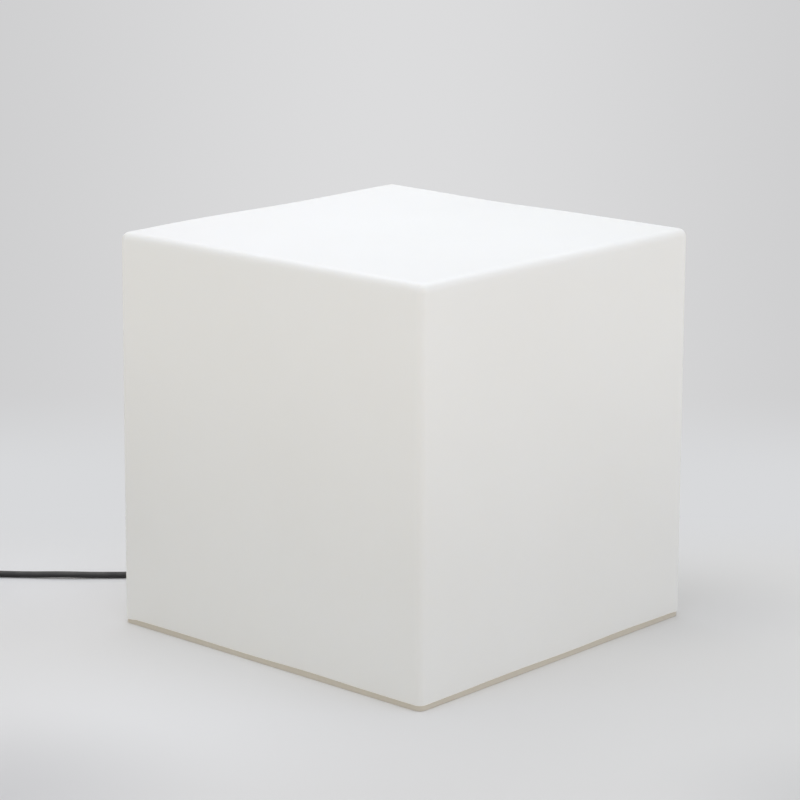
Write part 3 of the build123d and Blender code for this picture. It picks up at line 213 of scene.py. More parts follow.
class Wiring:
    """Short calls for adding and joining shader nodes in one tree."""

    def __init__(self, tree: bpy.types.NodeTree) -> None:
        """Keeps the tree that nodes are added to."""
        self.tree = tree

    def add(self, kind: str, **settings: object) -> bpy.types.Node:
        """Adds a node and sets its own settings.

        Args:
            kind: Node type without the ShaderNode prefix.
            settings: Settings of the node by name.

        Returns:
            The new node.
        """
        node = self.tree.nodes.new("ShaderNode" + kind)
        for key, value in settings.items():
            setattr(node, key, value)
        return node

    def feed(self, value: object, target: Socket) -> None:
        """Joins a socket to an input, or sets the input to a number, a vector or a colour."""
        if isinstance(value, Socket):
            self.tree.links.new(value, target)
        elif target.type == "RGBA":
            target.default_value = (*value, 1.0)
        else:
            target.default_value = value

    def maths(self, operation: str, *values: object) -> Socket:
        """Adds a Math node on sockets or plain numbers, and gives its result."""
        node = self.add("Math", operation=operation)
        for value, target in zip(values, node.inputs):
            self.feed(value, target)
        return node.outputs[0]

    def vector_maths(self, operation: str, *values: object) -> Socket:
        """Adds a Vector Math node that measures vectors, and gives its number."""
        node = self.add("VectorMath", operation=operation)
        for value, target in zip(values, node.inputs):
            self.feed(value, target)
        return node.outputs["Value"]

    def split(self, vector: Socket) -> Sequence[Socket]:
        """Adds a Separate XYZ node, and gives its three outputs."""
        node = self.add("SeparateXYZ")
        self.feed(vector, node.inputs[0])
        return node.outputs

    def noise(self, vector: Socket, scale: object, detail: float) -> Socket:
        """Adds a noise texture of a scale and detail on a vector, and gives its value."""
        node = self.add("TexNoise")
        for label, value in (("Vector", vector), ("Scale", scale), ("Detail", detail)):
            self.feed(value, node.inputs[label])
        return node.outputs["Fac"]

    def ramp(self, value: Socket, start: object, end: object, interpolation: str = "SMOOTHSTEP") -> Socket:
        """Adds a Map Range node that goes from 0 at a start value to 1 at an end value."""
        node = self.add("MapRange", interpolation_type=interpolation)
        for label, given in (("Value", value), ("From Min", start), ("From Max", end)):
            self.feed(given, node.inputs[label])
        return node.outputs[0]

    def mix(self, share: Socket, first: object, second: object) -> Socket:
        """Adds a colour mix that goes from a first colour to a second one as a share rises."""
        node = self.add("Mix", data_type="RGBA")
        self.feed(share, node.inputs["Factor"])
        self.feed(first, node.inputs[6])
        self.feed(second, node.inputs[7])
        return node.outputs[2]

    def blend(self, share: Socket, first: Socket, second: Socket) -> Socket:
        """Adds a shader mix that goes from a first shader to a second one as a share rises."""
        node = self.add("MixShader")
        for value, target in zip((share, first, second), node.inputs):
            self.feed(value, target)
        return node.outputs[0]

    def seen_rays(self) -> Socket:
        """Adds a value that is 1 for camera, glossy and transmission rays and 0 for all others."""
        path = self.add("LightPath")
        either = self.maths("MAXIMUM", path.outputs["Is Camera Ray"], path.outputs["Is Glossy Ray"])
        return self.maths("MAXIMUM", either, path.outputs["Is Transmission Ray"])


class EffectGroup:
    """A shader node group with named inputs and outputs, built once and placed in many materials."""

    def __init__(self, name: str, inputs: dict[str, object], outputs: dict[str, str]) -> None:
        """Makes the group's sockets.

        Args:
            name: Group name.
            inputs: Default value of each input by name. Three numbers make a colour socket.
            outputs: Socket type of each output by name.
        """
        self.tree = bpy.data.node_groups.new(name, "ShaderNodeTree")
        for label, value in inputs.items():
            kind = "NodeSocketFloat" if isinstance(value, float) else "NodeSocketColor"
            socket = self.tree.interface.new_socket(label, in_out="INPUT", socket_type=kind)
            socket.default_value = value if isinstance(value, float) else (*value, 1.0)
        for label, kind in outputs.items():
            self.tree.interface.new_socket(label, in_out="OUTPUT", socket_type=kind)
        self.wiring = Wiring(self.tree)
        self.inputs = self.tree.nodes.new("NodeGroupInput").outputs
        self.outputs = self.tree.nodes.new("NodeGroupOutput").inputs
        self.place = self.wiring.add("TexCoord").outputs["Object"]

    def give(self, **results: Socket) -> "EffectGroup":
        """Joins results to the outputs of the same names, and gives the finished group."""
        for label, result in results.items():
            self.wiring.feed(result, self.outputs[label])
        return self


def tone_effect() -> EffectGroup:
    """Uneven tone: soft clouds and fine specks mix a colour towards a second one."""
    colours = {"Colour": (0.8, 0.8, 0.8), "Second": (0.7, 0.7, 0.7)}
    numbers = {"Cloud Scale": 12.0, "Speck Scale": 300.0, "Amount": 0.3}
    group = EffectGroup("uneven_tone", colours | numbers, {"Colour": "NodeSocketColor"})
    wiring = group.wiring
    clouds = wiring.noise(group.place, group.inputs["Cloud Scale"], 4.0)
    specks = wiring.noise(group.place, group.inputs["Speck Scale"], 1.0)
    both = wiring.maths("ADD", wiring.maths("MULTIPLY", clouds, 0.75), wiring.maths("MULTIPLY", specks, 0.25))
    mask = wiring.maths("MULTIPLY", wiring.ramp(both, 0.35, 0.68, "LINEAR"), group.inputs["Amount"])
    return group.give(Colour=wiring.mix(mask, group.inputs["Colour"], group.inputs["Second"]))


def grain_effect() -> EffectGroup:
    """Moulded grain: fine pores over slow waves, as one height."""
    scales = {"Pore Scale": 1500.0, "Wave Scale": 30.0, "Wave Share": 0.5}
    group = EffectGroup("moulded_grain", scales, {"Height": "NodeSocketFloat"})
    wiring = group.wiring
    pores = wiring.noise(group.place, group.inputs["Pore Scale"], 2.0)
    waves = wiring.noise(group.place, group.inputs["Wave Scale"], 1.0)
    swell = wiring.maths("MULTIPLY", waves, group.inputs["Wave Share"])
    return group.give(Height=wiring.maths("ADD", pores, swell))


def polish_effect() -> EffectGroup:
    """Uneven polish: roughness that wanders about a middle value, with rubbed patches."""
    levels = {"Middle": 0.45, "Swing": 0.1, "Scale": 40.0}
    group = EffectGroup("uneven_polish", levels, {"Roughness": "NodeSocketFloat"})
    wiring = group.wiring
    patches = wiring.maths("SUBTRACT", wiring.noise(group.place, group.inputs["Scale"], 5.0), 0.5)
    swing = wiring.maths("MULTIPLY", patches, wiring.maths("MULTIPLY", group.inputs["Swing"], 2.0))
    return group.give(Roughness=wiring.maths("ADD", group.inputs["Middle"], swing))


def turned_effect() -> EffectGroup:
    """Turning marks: fine rings about Z whose height changes with radius and height."""
    group = EffectGroup("turning_marks", {"Ring Scale": 2500.0}, {"Height": "NodeSocketFloat"})
    wiring = group.wiring
    x, y, z = wiring.split(group.place)
    square = wiring.maths("ADD", wiring.maths("MULTIPLY", x, x), wiring.maths("MULTIPLY", y, y))
    line = wiring.add("CombineXYZ")
    wiring.feed(wiring.maths("SQRT", square), line.inputs[0])
    wiring.feed(z, line.inputs[1])
    return group.give(Height=wiring.noise(line.outputs[0], group.inputs["Ring Scale"], 2.0))


def dust_effect() -> EffectGroup:
    """Settled dust: lies on faces that look up, in patches."""
    inputs = {"Colour": (0.5, 0.5, 0.5), "Dust": (0.6, 0.58, 0.54), "Amount": 0.2}
    group = EffectGroup("settled_dust", inputs, {"Colour": "NodeSocketColor"})
    wiring = group.wiring
    rise = wiring.split(wiring.add("NewGeometry").outputs["Normal"])[2]
    facing = wiring.maths("MAXIMUM", rise, 0.0)
    patches = wiring.noise(group.place, 60.0, 6.0)
    mask = wiring.maths("MULTIPLY", wiring.maths("MULTIPLY", facing, patches), group.inputs["Amount"])
    return group.give(Colour=wiring.mix(mask, group.inputs["Colour"], group.inputs["Dust"]))


def painted_glow_effect() -> EffectGroup:
    """Painted glow standing in for light that passes the plastic wall: a fixed emission on down-facing faces
    near the foot, and on upright walls, stronger towards the top.
    """
    inputs = {"Painted Underside Glow": (0.2, 0.18, 0.16), "Painted Wall Glow": (0.04, 0.04, 0.04), "Foot": 0.005, "Height": 0.4}
    group = EffectGroup("painted_glow_group", inputs, {"Colour": "NodeSocketColor"})
    wiring = group.wiring
    facing = wiring.split(wiring.add("NewGeometry").outputs["Normal"])[2]
    down = wiring.maths("MAXIMUM", wiring.maths("MULTIPLY", facing, -1.0), 0.0)
    level = wiring.maths("SUBTRACT", 1.0, wiring.maths("ABSOLUTE", facing))
    height = wiring.split(group.place)[2]
    colour = (0.0, 0.0, 0.0)
    # Painted glow masks: down-facing faces glow most at the foot, and upright walls glow more higher up.
    for label, share, start, end in (("Painted Underside Glow", down, 0.025, 0.0), ("Painted Wall Glow", level, 0.0, 1.0)):
        limits = []
        for part in (start, end):
            rise = wiring.maths("MULTIPLY", group.inputs["Height"], part)
            limits.append(wiring.maths("ADD", group.inputs["Foot"], rise))
        mask = wiring.maths("MULTIPLY", share, wiring.ramp(height, *limits))
        colour = wiring.mix(mask, colour, group.inputs[label])
    return group.give(Colour=colour)


class Effects:
    """The shared node groups, made once and handed to every finish."""

    def __init__(self) -> None:
        """Builds each group."""
        self.tone = tone_effect()
        self.grain = grain_effect()
        self.polish = polish_effect()
        self.turned = turned_effect()
        self.dust = dust_effect()
        # Painted glow of the shell, an emission standing in for transmitted light.
        self.painted_glow = painted_glow_effect()

    def put(self, wiring: Wiring, group: EffectGroup, **values: object) -> Socket:
        """Places a group in a material with its own values.

        Args:
            wiring: Wiring of the material's tree.
            group: The group.
            values: Input values by name, with underscores for spaces. A socket is joined.

        Returns:
            The group's output.
        """
        node = wiring.add("Group", node_tree=group.tree)
        for key, value in values.items():
            wiring.feed(value, node.inputs[key.replace("_", " ")])
        return node.outputs[0]


# ---- Finishes -----------------------------------------------------------------------------------


class Mark(Enum):
    """What the fine relief of a finish is."""

    MOULDED = "pores and slow waves"
    TURNED = "turning rings"


@dataclass(frozen=True)
class Finish:
    """A surface finish: screen colours, gloss, fine relief and, for the shell, a painted glow."""

    name: str
    colour: Colour
    second: Colour
    roughness: float = 0.5
    swing: float = 0.08
    metallic: float = 0.0
    coat: float = 0.0
    coat_roughness: float = 0.15
    blend: float = 0.4
    cloud_scale: float = 14.0
    speck_scale: float = 400.0
    mark: Mark = Mark.MOULDED
    relief: float = 0.2
    depth: float = 0.00004
    pore_scale: float = 1600.0
    wave_scale: float = 40.0
    wave_share: float = 0.5
    dust: float = 0.0
    scatter: float = 0.0
    scatter_depth: float = 0.004
    scatter_spread: Colour = (1.0, 0.96, 0.88)
    ior: float = 1.5
    # Painted glow of the underside and the walls: emission standing in for light that passes the plastic.
    painted_underside_glow: Colour = (0.0, 0.0, 0.0)
    painted_wall_glow: Colour = (0.0, 0.0, 0.0)

    def build(self, effects: Effects) -> bpy.types.Material:
        """Makes the finish's material.

        Args:
            effects: The shared node groups.

        Returns:
            The material.
        """
        material = bpy.data.materials.new(self.name)
        material.use_nodes = True
        wiring = Wiring(material.node_tree)
        material.node_tree.nodes.clear()
        shader = wiring.add("BsdfPrincipled")
        wiring.feed(shader.outputs[0], wiring.add("OutputMaterial").inputs["Surface"])
        colour = effects.put(
            wiring,
            effects.tone,
            Colour=linear(*self.colour),
            Second=linear(*self.second),
            Cloud_Scale=self.cloud_scale,
            Speck_Scale=self.speck_scale,
            Amount=self.blend,
        )
        if self.dust > 0:
            colour = effects.put(wiring, effects.dust, Colour=colour, Amount=self.dust)
        sockets = {
            "Base Color": colour,
            "Roughness": effects.put(wiring, effects.polish, Middle=self.roughness, Swing=self.swing),
            "Normal": self.bump(wiring, effects),
            "Metallic": self.metallic,
            "IOR": self.ior,
            "Coat Weight": self.coat,
            "Coat Roughness": self.coat_roughness,
        }
        if self.scatter > 0:
            sockets["Subsurface Weight"] = self.scatter
            sockets["Subsurface Radius"] = self.scatter_spread
            sockets["Subsurface Scale"] = self.scatter_depth
        # Painted glow: emission on the underside and upper walls, though the shell is no lamp.
        if max(self.painted_underside_glow) > 0:
            lights = {"Painted Underside Glow": self.painted_underside_glow, "Painted Wall Glow": self.painted_wall_glow}
            sockets["Emission Color"] = effects.put(wiring, effects.painted_glow, **lights)
            sockets["Emission Strength"] = 1.0
        for label, value in sockets.items():
            wiring.feed(value, shader.inputs[label])
        return material

    def bump(self, wiring: Wiring, effects: Effects) -> Socket:
        """Adds the finish's fine relief.

        Args:
            wiring: Wiring of the material's tree.
            effects: The shared node groups.

        Returns:
            The bumped normal.
        """
        if self.mark is Mark.TURNED:
            relief = effects.put(wiring, effects.turned)
        else:
            waves = {"Wave_Scale": self.wave_scale, "Wave_Share": self.wave_share}
            relief = effects.put(wiring, effects.grain, Pore_Scale=self.pore_scale, **waves)
        node = wiring.add("Bump")
        for label, value in (("Strength", self.relief), ("Distance", self.depth), ("Height", relief)):
            wiring.feed(value, node.inputs[label])
        return node.outputs[0]


FINISHES = (
    Finish(
        "satin_polyethylene", (247, 246, 242), (242, 241, 236), roughness=0.48, swing=0.06, blend=0.5,
        cloud_scale=6.0, speck_scale=900.0, relief=0.12, depth=0.00005, pore_scale=2200.0, wave_scale=9.0,
        wave_share=3.0, scatter=0.35, scatter_depth=0.006, ior=1.49,
        # painted glow of the underside and the upper walls, as emission
        painted_underside_glow=(0.155, 0.132, 0.107), painted_wall_glow=(0.092, 0.083, 0.07),
    ),
    Finish(
        # Darker, warmer copy of the shell's plastic: painted shade on the foot rim under the cube.
        "rim_polyethylene_painted_shade", (214, 206, 191), (209, 201, 186), roughness=0.55, relief=0.12, depth=0.00005,
        scatter=0.2, scatter_depth=0.002, ior=1.49,
    ),
    Finish("base_plastic", (226, 226, 222), (216, 216, 211), roughness=0.5, relief=0.35, dust=0.15),
    Finish(
        "gasket_foam", (34, 34, 35), (22, 22, 23), roughness=0.9, relief=0.9, depth=0.0002, pore_scale=900.0,
    ),
    Finish("foot_rubber", (44, 44, 45), (36, 36, 36), roughness=0.8, relief=0.5, depth=0.0001, dust=0.3),
    Finish(
        "zinc_plate", (186, 186, 190), (160, 160, 158), roughness=0.34, metallic=1.0, relief=0.2,
        mark=Mark.TURNED,
    ),
    Finish("holder_plastic", (26, 26, 27), (20, 20, 21), roughness=0.34, coat=0.2, relief=0.25, dust=0.12),
    Finish("glazed_core", (232, 228, 218), (222, 217, 205), roughness=0.22, coat=0.6, relief=0.15),
    Finish("nickel_plate", (206, 202, 194), (186, 180, 170), roughness=0.24, metallic=1.0, relief=0.12),
    Finish("spring_brass", (214, 176, 104), (190, 150, 84), roughness=0.28, metallic=1.0, relief=0.15),
    Finish("black_glass", (18, 18, 20), (14, 14, 15), roughness=0.12, coat=0.8, relief=0.1),
    Finish("bulb_plastic", (236, 236, 233), (229, 229, 226), roughness=0.42, relief=0.2, dust=0.08),
    Finish("board_mask", (238, 238, 234), (230, 230, 226), roughness=0.4, coat=0.3, relief=0.1),
    Finish("phosphor", (240, 208, 96), (233, 196, 80), roughness=0.4, coat=0.4, relief=0.1),
    Finish("board_green", (34, 92, 58), (28, 80, 50), roughness=0.36, coat=0.3, relief=0.2),
    Finish("component_black", (32, 32, 34), (26, 26, 28), roughness=0.4, relief=0.2),
    Finish(
        "opal_globe", (244, 244, 241), (238, 238, 235), roughness=0.5, relief=0.1, scatter=0.3,
        scatter_depth=0.003,
    ),
    Finish(
        "cord_rubber", (33, 32, 33), (24, 24, 25), roughness=0.52, swing=0.12, cloud_scale=60.0, relief=0.6,
        depth=0.00015, pore_scale=1100.0, dust=0.25,
    ),
    Finish("plug_rubber", (38, 38, 39), (30, 30, 31), roughness=0.5, relief=0.4, depth=0.0001, dust=0.25),
    Finish("block_plastic", (222, 219, 206), (212, 208, 194), roughness=0.45, relief=0.2),
    Finish("brown_insulation", (104, 62, 38), (92, 54, 33), roughness=0.4, relief=0.2),
    Finish("blue_insulation", (44, 86, 160), (38, 76, 146), roughness=0.4, relief=0.2),
)


class Wardrobe:
    """Holds the built materials by name, and dresses pieces and CAD nodes with them."""

    def __init__(self) -> None:
        """Builds the shared effects and every finish."""
        effects = Effects()
        self.materials = {finish.name: finish.build(effects) for finish in FINISHES}

    def dress(self, piece: bpy.types.Object, finish: str) -> None:
        """Gives a piece one material in place of any that it has."""
        piece.data.materials.clear()
        piece.data.materials.append(self.materials[finish])

    def dress_nodes(self, finish: str, *nodes: str) -> None:
        """Gives CAD nodes a material in the slots that they have.

        Args:
            finish: Name of the finish.
            nodes: Names of the nodes.
        """
        for node in nodes:
            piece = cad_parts[node]
            if not piece.material_slots:
                piece.data.materials.append(None)
            for slot in piece.material_slots:
                slot.material = self.materials[finish]
            log.info("CAD node %s wears %s", node, finish)


# ---- Camera, stage and lamps --------------------------------------------------------------------


@dataclass
class Viewpoint:
    """The photograph's camera."""

    place: Point = (-2.0669, -1.8441, 0.8973)
    right: Point = (0.66779, -0.74434, 0.00466)
    up: Point = (0.17184, 0.16028, 0.972)
    forward: Point = (0.72425, 0.64829, -0.23494)
    lens: float = 128.756
    sensor: float = 36.0

    def build(self) -> None:
        """Makes the camera and sets it as the scene's."""
        data = bpy.data.cameras.new("photo_camera")
        data.sensor_width, data.lens = self.sensor, self.lens
        data.clip_start, data.clip_end = 0.05, 60.0
        camera = bpy.data.objects.new("photo_camera", data)
        axes = Matrix((self.right, self.up, [-value for value in self.forward])).transposed()
        camera.matrix_world = Matrix.LocRotScale(Vector(self.place), axes.to_quaternion(), Vector((1, 1, 1)))
        bpy.context.scene.collection.objects.link(camera)
        bpy.context.scene.camera = camera
        log.info("camera with a %.1f mm lens", self.lens)


@dataclass(frozen=True)
class Softbox:
    """A square lamp that looks at a point."""

    name: str
    place: Point
    target: Point
    side: float
    power: float
    colour: Colour

    def build(self) -> None:
        """Makes the area lamp."""
        data = bpy.data.lights.new(self.name, "AREA")
        data.shape, data.size = "SQUARE", self.side
        data.energy, data.color = self.power, self.colour
        lamp = bpy.data.objects.new(self.name, data)
        lamp.location = self.place
        aim = Vector(self.target) - Vector(self.place)
        lamp.rotation_euler = aim.to_track_quat("-Z", "Y").to_euler()
        lamp.visible_camera = False
        bpy.context.scene.collection.objects.link(lamp)


@dataclass(frozen=True)
class PaintedLightShade:
    """Painted light and shade on the floor: a soft round patch of the paper, paler for a pool of light and
    darker for a shadow.
    """

    centre: Point
    radius: float
    tone: Colour

    def paint_light_shade(self, wiring: Wiring, spot: Socket, colour: Socket) -> Socket:
        """Mixes the patch's painted light and shade into a colour.

        Args:
            wiring: Wiring of the floor's material.
            spot: Place on the floor.
            colour: Colour without the patch.

        Returns:
            The colour with the patch.
        """
        away = wiring.vector_maths("DISTANCE", spot, self.centre)
        return wiring.mix(wiring.ramp(away, self.radius, 0.0), colour, linear(*self.tone))


@dataclass(frozen=True)
class Sweep:
    """The far paper, shown at an even tone: a painted pool of light palest along the middle, and painted
    falloff a little darker to the sides.
    """

    across: Point = (0.66779, -0.74434, 0.0)
    ahead: Point = (0.745, 0.667, 0.0)
    start: float = -2.77
    nearest: float = 1.0
    side_share: float = 0.18
    painted_light_middle_tone: Colour = (220, 220, 221)
    painted_falloff_side_tone: Colour = (206, 206, 207)
    foot_tone: Colour = (216, 217, 219)
    foot_depths: tuple[float, float] = (3.8, 3.3)
    reaches: tuple[float, float] = (0.62, 1.0)
    depths: tuple[float, float] = (2.85, 3.15)

    def tone(self, wiring: Wiring, spot: Socket) -> tuple[Socket, Socket]:
        """Adds the tone of the sweep at a place, with its painted pool of light and painted falloff.

        Args:
            wiring: Wiring of the floor's material.
            spot: Place on the floor.

        Returns:
            The tone, and a mask that rises from 0 near the cube to 1 far from it.
        """
        ahead = wiring.vector_maths("DOT_PRODUCT", spot, self.ahead)
        depth = wiring.maths("MAXIMUM", wiring.maths("SUBTRACT", ahead, self.start), self.nearest)
        across = wiring.vector_maths("DOT_PRODUCT", spot, self.across)
        aside = wiring.maths("ABSOLUTE", wiring.maths("DIVIDE", across, depth))
        level = wiring.mix(
            wiring.ramp(aside, 0.0, self.side_share), linear(*self.painted_light_middle_tone), linear(*self.painted_falloff_side_tone)
        )
        tone = wiring.mix(wiring.ramp(depth, *self.foot_depths), level, linear(*self.foot_tone))
        reach = wiring.vector_maths("LENGTH", spot)
        far = wiring.maths("MAXIMUM", wiring.ramp(reach, *self.reaches), wiring.ramp(depth, *self.depths))
        return tone, far


@dataclass
class Studio:
    """Pale floor with painted light and shade, an even world and soft lamps."""

    floor_size: float = 24.0
    floor_points: int = 25
    # Painted falloff: the paper is palest about this centre near the cube and painted darker away from it.
    painted_falloff_centre: Point = (0.097, 0.087, 0.0)
    paper_painted_lit_middle: Colour = (235.5, 235.0, 234.0)
    paper_painted_falloff_edge: Colour = (233.0, 232.0, 230.5)
    painted_falloff_spread: float = 0.4
    fibre_share: float = 0.06
    painted_light_shade: tuple[PaintedLightShade, ...] = (
        # Painted shadow right of the cube, painted light to its left and behind, painted shade in front and
        # far to the left.
        PaintedLightShade((0.24, -0.18, 0.0), 0.22, (225.0, 224.8, 225.0)),
        PaintedLightShade((-0.28, 0.02, 0.0), 0.40, (244.0, 244.0, 244.0)),
        PaintedLightShade((-0.14, 0.40, 0.0), 0.30, (242.0, 242.6, 244.0)),
        PaintedLightShade((0.05, -0.45, 0.0), 0.25, (232.0, 231.0, 229.5)),
        PaintedLightShade((-0.62, -0.06, 0.0), 0.25, (219.5, 219.0, 219.0)),
        PaintedLightShade((-0.12, -0.62, 0.0), 0.2, (222.0, 221.5, 220.5)),
    )
    sweep: Sweep = Sweep()
    world_strength: float = 0.588
    world_colour: Colour = (1.0, 0.985, 0.912)
    air_tone: Colour = (212, 213, 214)
    lamps: tuple[Softbox, ...] = (
        Softbox("left_softbox", (-1.612, 0.302, 1.7), (0, 0, 0.2), 1.2, 4.0, (0.583, 0.69, 1.0)),
        Softbox("right_softbox", (0.871, -2.173, 1.2), (0, 0, 0.2), 1.5, 9.1, (0.673, 0.743, 1.0)),
        Softbox("near_softbox", (-0.559, -0.5, 0.95), (0, 0, 0.3), 0.7, 1.0, (0.882, 0.869, 1.0)),
        Softbox("top_softbox", (0.12, 0.11, 1.1), (0.05, 0.045, 0.0), 0.9, 3.4, (0.79, 0.87, 1.0)),
        Softbox("back_softbox", (0.106, 0.631, 1.0), (0, 0, 0.2), 0.8, 0.4, (1.0, 0.632, 0.759)),
    )

    def build(self) -> None:
        """Makes the floor, the world and the lamps."""
        self.build_floor()
        self.build_world()
        for lamp in self.lamps:
            lamp.build()
        bpy.context.scene.view_settings.view_transform = "Standard"

    def build_floor(self) -> None:
        """Makes the floor, a flat grid of paper."""
        share = np.linspace(-self.floor_size / 2, self.floor_size / 2, self.floor_points)
        across, along = np.meshgrid(share, share)
        floor = build_mesh("studio_floor", [(np.stack([across, along, 0 * across], -1), Seam.OPEN)])
        floor.data.materials.append(self.floor_material())
        if floor.data.polygons[0].normal.z < 0:
            floor.data.flip_normals()

    def floor_material(self) -> bpy.types.Material:
        """Makes the floor's paper: pale, matte, faintly uneven, with painted falloff and painted patches of
        light and shadow, running out into the sweep's tone.
        """
        material = bpy.data.materials.new("studio_paper")
        material.use_nodes = True
        wiring = Wiring(material.node_tree)
        shader = material.node_tree.nodes["Principled BSDF"]
        spot = wiring.add("TexCoord").outputs["Object"]
        fibres = wiring.noise(spot, 3.0, 5.0)
        # Painted falloff of light away from the cube, plus random fibres.
        away = wiring.vector_maths("DISTANCE", spot, self.painted_falloff_centre)
        painted_falloff = wiring.maths("DIVIDE", wiring.maths("MULTIPLY", away, away), self.painted_falloff_spread)
        falloff_and_fibres = wiring.maths("ADD", painted_falloff, wiring.maths("MULTIPLY", fibres, self.fibre_share))
        colour = wiring.mix(falloff_and_fibres, linear(*self.paper_painted_lit_middle), linear(*self.paper_painted_falloff_edge))
        for painted_patch in self.painted_light_shade:
            colour = painted_patch.paint_light_shade(wiring, spot, colour)
        for label, value in (("Base Color", colour), ("Roughness", 0.75), ("Specular IOR Level", 0.2)):
            wiring.feed(value, shader.inputs[label])
        tone, far = self.sweep.tone(wiring, spot)
        paper = wiring.add("Emission")
        wiring.feed(tone, paper.inputs["Color"])
        shown = wiring.maths("MULTIPLY", far, wiring.seen_rays())
        surface = wiring.blend(shown, shader.outputs[0], paper.outputs[0])
        wiring.feed(surface, material.node_tree.nodes["Material Output"].inputs["Surface"])
        return material

    def build_world(self) -> None:
        """Makes an even world for the light, which shows as pale paper where it is seen."""
        world = bpy.data.worlds.new("studio_air")
        world.use_nodes = True
        wiring = Wiring(world.node_tree)
        light = world.node_tree.nodes["Background"]
        wiring.feed(self.world_colour, light.inputs["Color"])
        wiring.feed(self.world_strength, light.inputs["Strength"])
        paper = wiring.add("Background")
        wiring.feed(linear(*self.air_tone), paper.inputs["Color"])
        surface = wiring.blend(wiring.seen_rays(), light.outputs[0], paper.outputs[0])
        wiring.feed(surface, world.node_tree.nodes["World Output"].inputs["Surface"])
        bpy.context.scene.world = world


# ---- Cord ---------------------------------------------------------------------------------------


@dataclass
class MainsCord:
    """The round rubber cord: its free stretch, the coil of spare length, and the tail to the plug."""

    diameter: float = 0.0068
    length: float = 3.184
    route: tuple[Point, ...] = (
        (0.0, 0.165, 0.013),
        (0.0, 0.203, 0.013),
        (-0.024, 0.240, 0.0066),
        (-0.066, 0.2765, 0.0035),
        (-0.1185, 0.330, 0.0035),
        (-0.1428, 0.3548, 0.0048),
        (-0.165, 0.3835, 0.0035),
        (-0.1875, 0.4115, 0.0035),
        (-0.208, 0.4365, 0.0044),
        (-0.2295, 0.461, 0.0044),
    )
    coil_radius: float = 0.048
    coil_pitch: float = 0.0074
    coil_layers: int = 4
    half_turns: int = 5
    points_per_turn: int = 16
    tail_reaches: tuple[float, ...] = (0.0, 0.028, 0.0616, 0.0896)
    plug_height: float = 0.0135

    def heading(self) -> float:
        """Direction on the floor in which the cord enters the coil, in radians."""
        before, last = self.route[-2:]
        return math.atan2(last[1] - before[1], last[0] - before[0])

    def centre(self) -> np.ndarray:
        """Middle of the coil on the floor."""
        way = self.heading()
        ahead, aside = np.array([math.cos(way), math.sin(way)]), np.array([-math.sin(way), math.cos(way)])
        return np.array(self.route[-1][:2]) + ahead * self.diameter + aside * self.coil_radius

    def coil_nodes(self) -> np.ndarray:
        """Turning points of the coil's spiral and climbs: angle wound, radius and height, one row each."""
        half_pitch = self.coil_pitch / 2
        wound, radius, height = 0.0, self.coil_radius, self.route[-1][2]
        nodes = [(wound, radius, height)]
        for layer in range(self.coil_layers):
            inward = -1 if layer % 2 == 0 else 1
            last = layer == self.coil_layers - 1
            for _ in range(self.half_turns - last):
                wound += math.pi
                radius += inward * half_pitch
                nodes.append((wound, radius, height))
            if last:
                nodes.append((wound + math.pi / 2, radius + half_pitch / 2, height))
                continue
            nodes.append((wound + math.pi / 2, radius + inward * half_pitch / 2, height + half_pitch))
            wound += math.pi
            height += self.coil_pitch
            nodes.append((wound, radius, height))
        return np.array(nodes)

    def coil_points(self) -> np.ndarray:
        """Control points of the turns: evenly wound, a little outside the turns that they draw in."""
        wound_at, radius_at, height_at = self.coil_nodes().T
        steps = int(round(wound_at[-1] / (2 * math.pi) * self.points_per_turn))
        wound = np.linspace(0, wound_at[-1], steps + 1)[1:]
        draw = 0.5 + 0.5 * math.cos(math.pi / self.points_per_turn)
        radius = np.interp(wound, wound_at, radius_at) / draw
        angle = self.heading() - math.pi / 2 + wound
        flat = self.centre() + radius[:, None] * np.stack([np.cos(angle), np.sin(angle)], -1)
        return np.column_stack([flat, np.interp(wound, wound_at, height_at)])

    def tail_points(self) -> np.ndarray:
        """Control points from the top turn down to the plug, straight ahead where the turns end."""
        wound, radius, height = self.coil_nodes()[-1]
        angle = self.heading() - math.pi / 2 + wound
        out, way = np.array([math.cos(angle), math.sin(angle)]), np.array([-math.sin(angle), math.cos(angle)])
        reaches = self.diameter + np.array(self.tail_reaches)[:, None]
        heights = [height, height, self.plug_height, self.plug_height]
        return np.column_stack([self.centre() + radius * out + reaches * way, heights])

    def plug_frame(self) -> tuple[np.ndarray, np.ndarray]:
        """Where the cord enters the plug, and the plug's direction."""
        before, last = self.tail_points()[-2:]
        return last, (last - before) / np.linalg.norm(last - before)

    def build(self, wardrobe: Wardrobe) -> bpy.types.Object:
        """Makes the cord as one open smooth spline with a round bevel.

        Args:
            wardrobe: The materials.

        Returns:
            The cord's curve object.
        """
        points = [*self.route, *self.coil_points(), *self.tail_points()]
        curve = bpy.data.curves.new("mains_cord", "CURVE")
        curve.dimensions = "3D"
        curve.bevel_depth = self.diameter / 2
        curve.bevel_resolution = 6
        curve.use_fill_caps = True
        spline = curve.splines.new("NURBS")
        spline.points.add(len(points) - 1)
        for point, spot in zip(spline.points, points):
            point.co = (*spot, 1.0)
        spline.order_u = 3
        spline.use_endpoint_u = True
        spline.resolution_u = 6
        cord = bpy.data.objects.new("mains_cord", curve)
        bpy.context.scene.collection.objects.link(cord)
        wardrobe.dress(cord, "cord_rubber")
        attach(cord, "base")
        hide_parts("power_cord", "cord_coil", "cord_tail")
        log.info("cord of %.2f m on %d points", self.length, len(points))
        return cord


# ---- The cube -----------------------------------------------------------------------------------


@dataclass(frozen=True)
class Swell:
    """A gentle rise or dip of the moulded surface about a place."""

    centre: Point
    reach: float
    move: Point


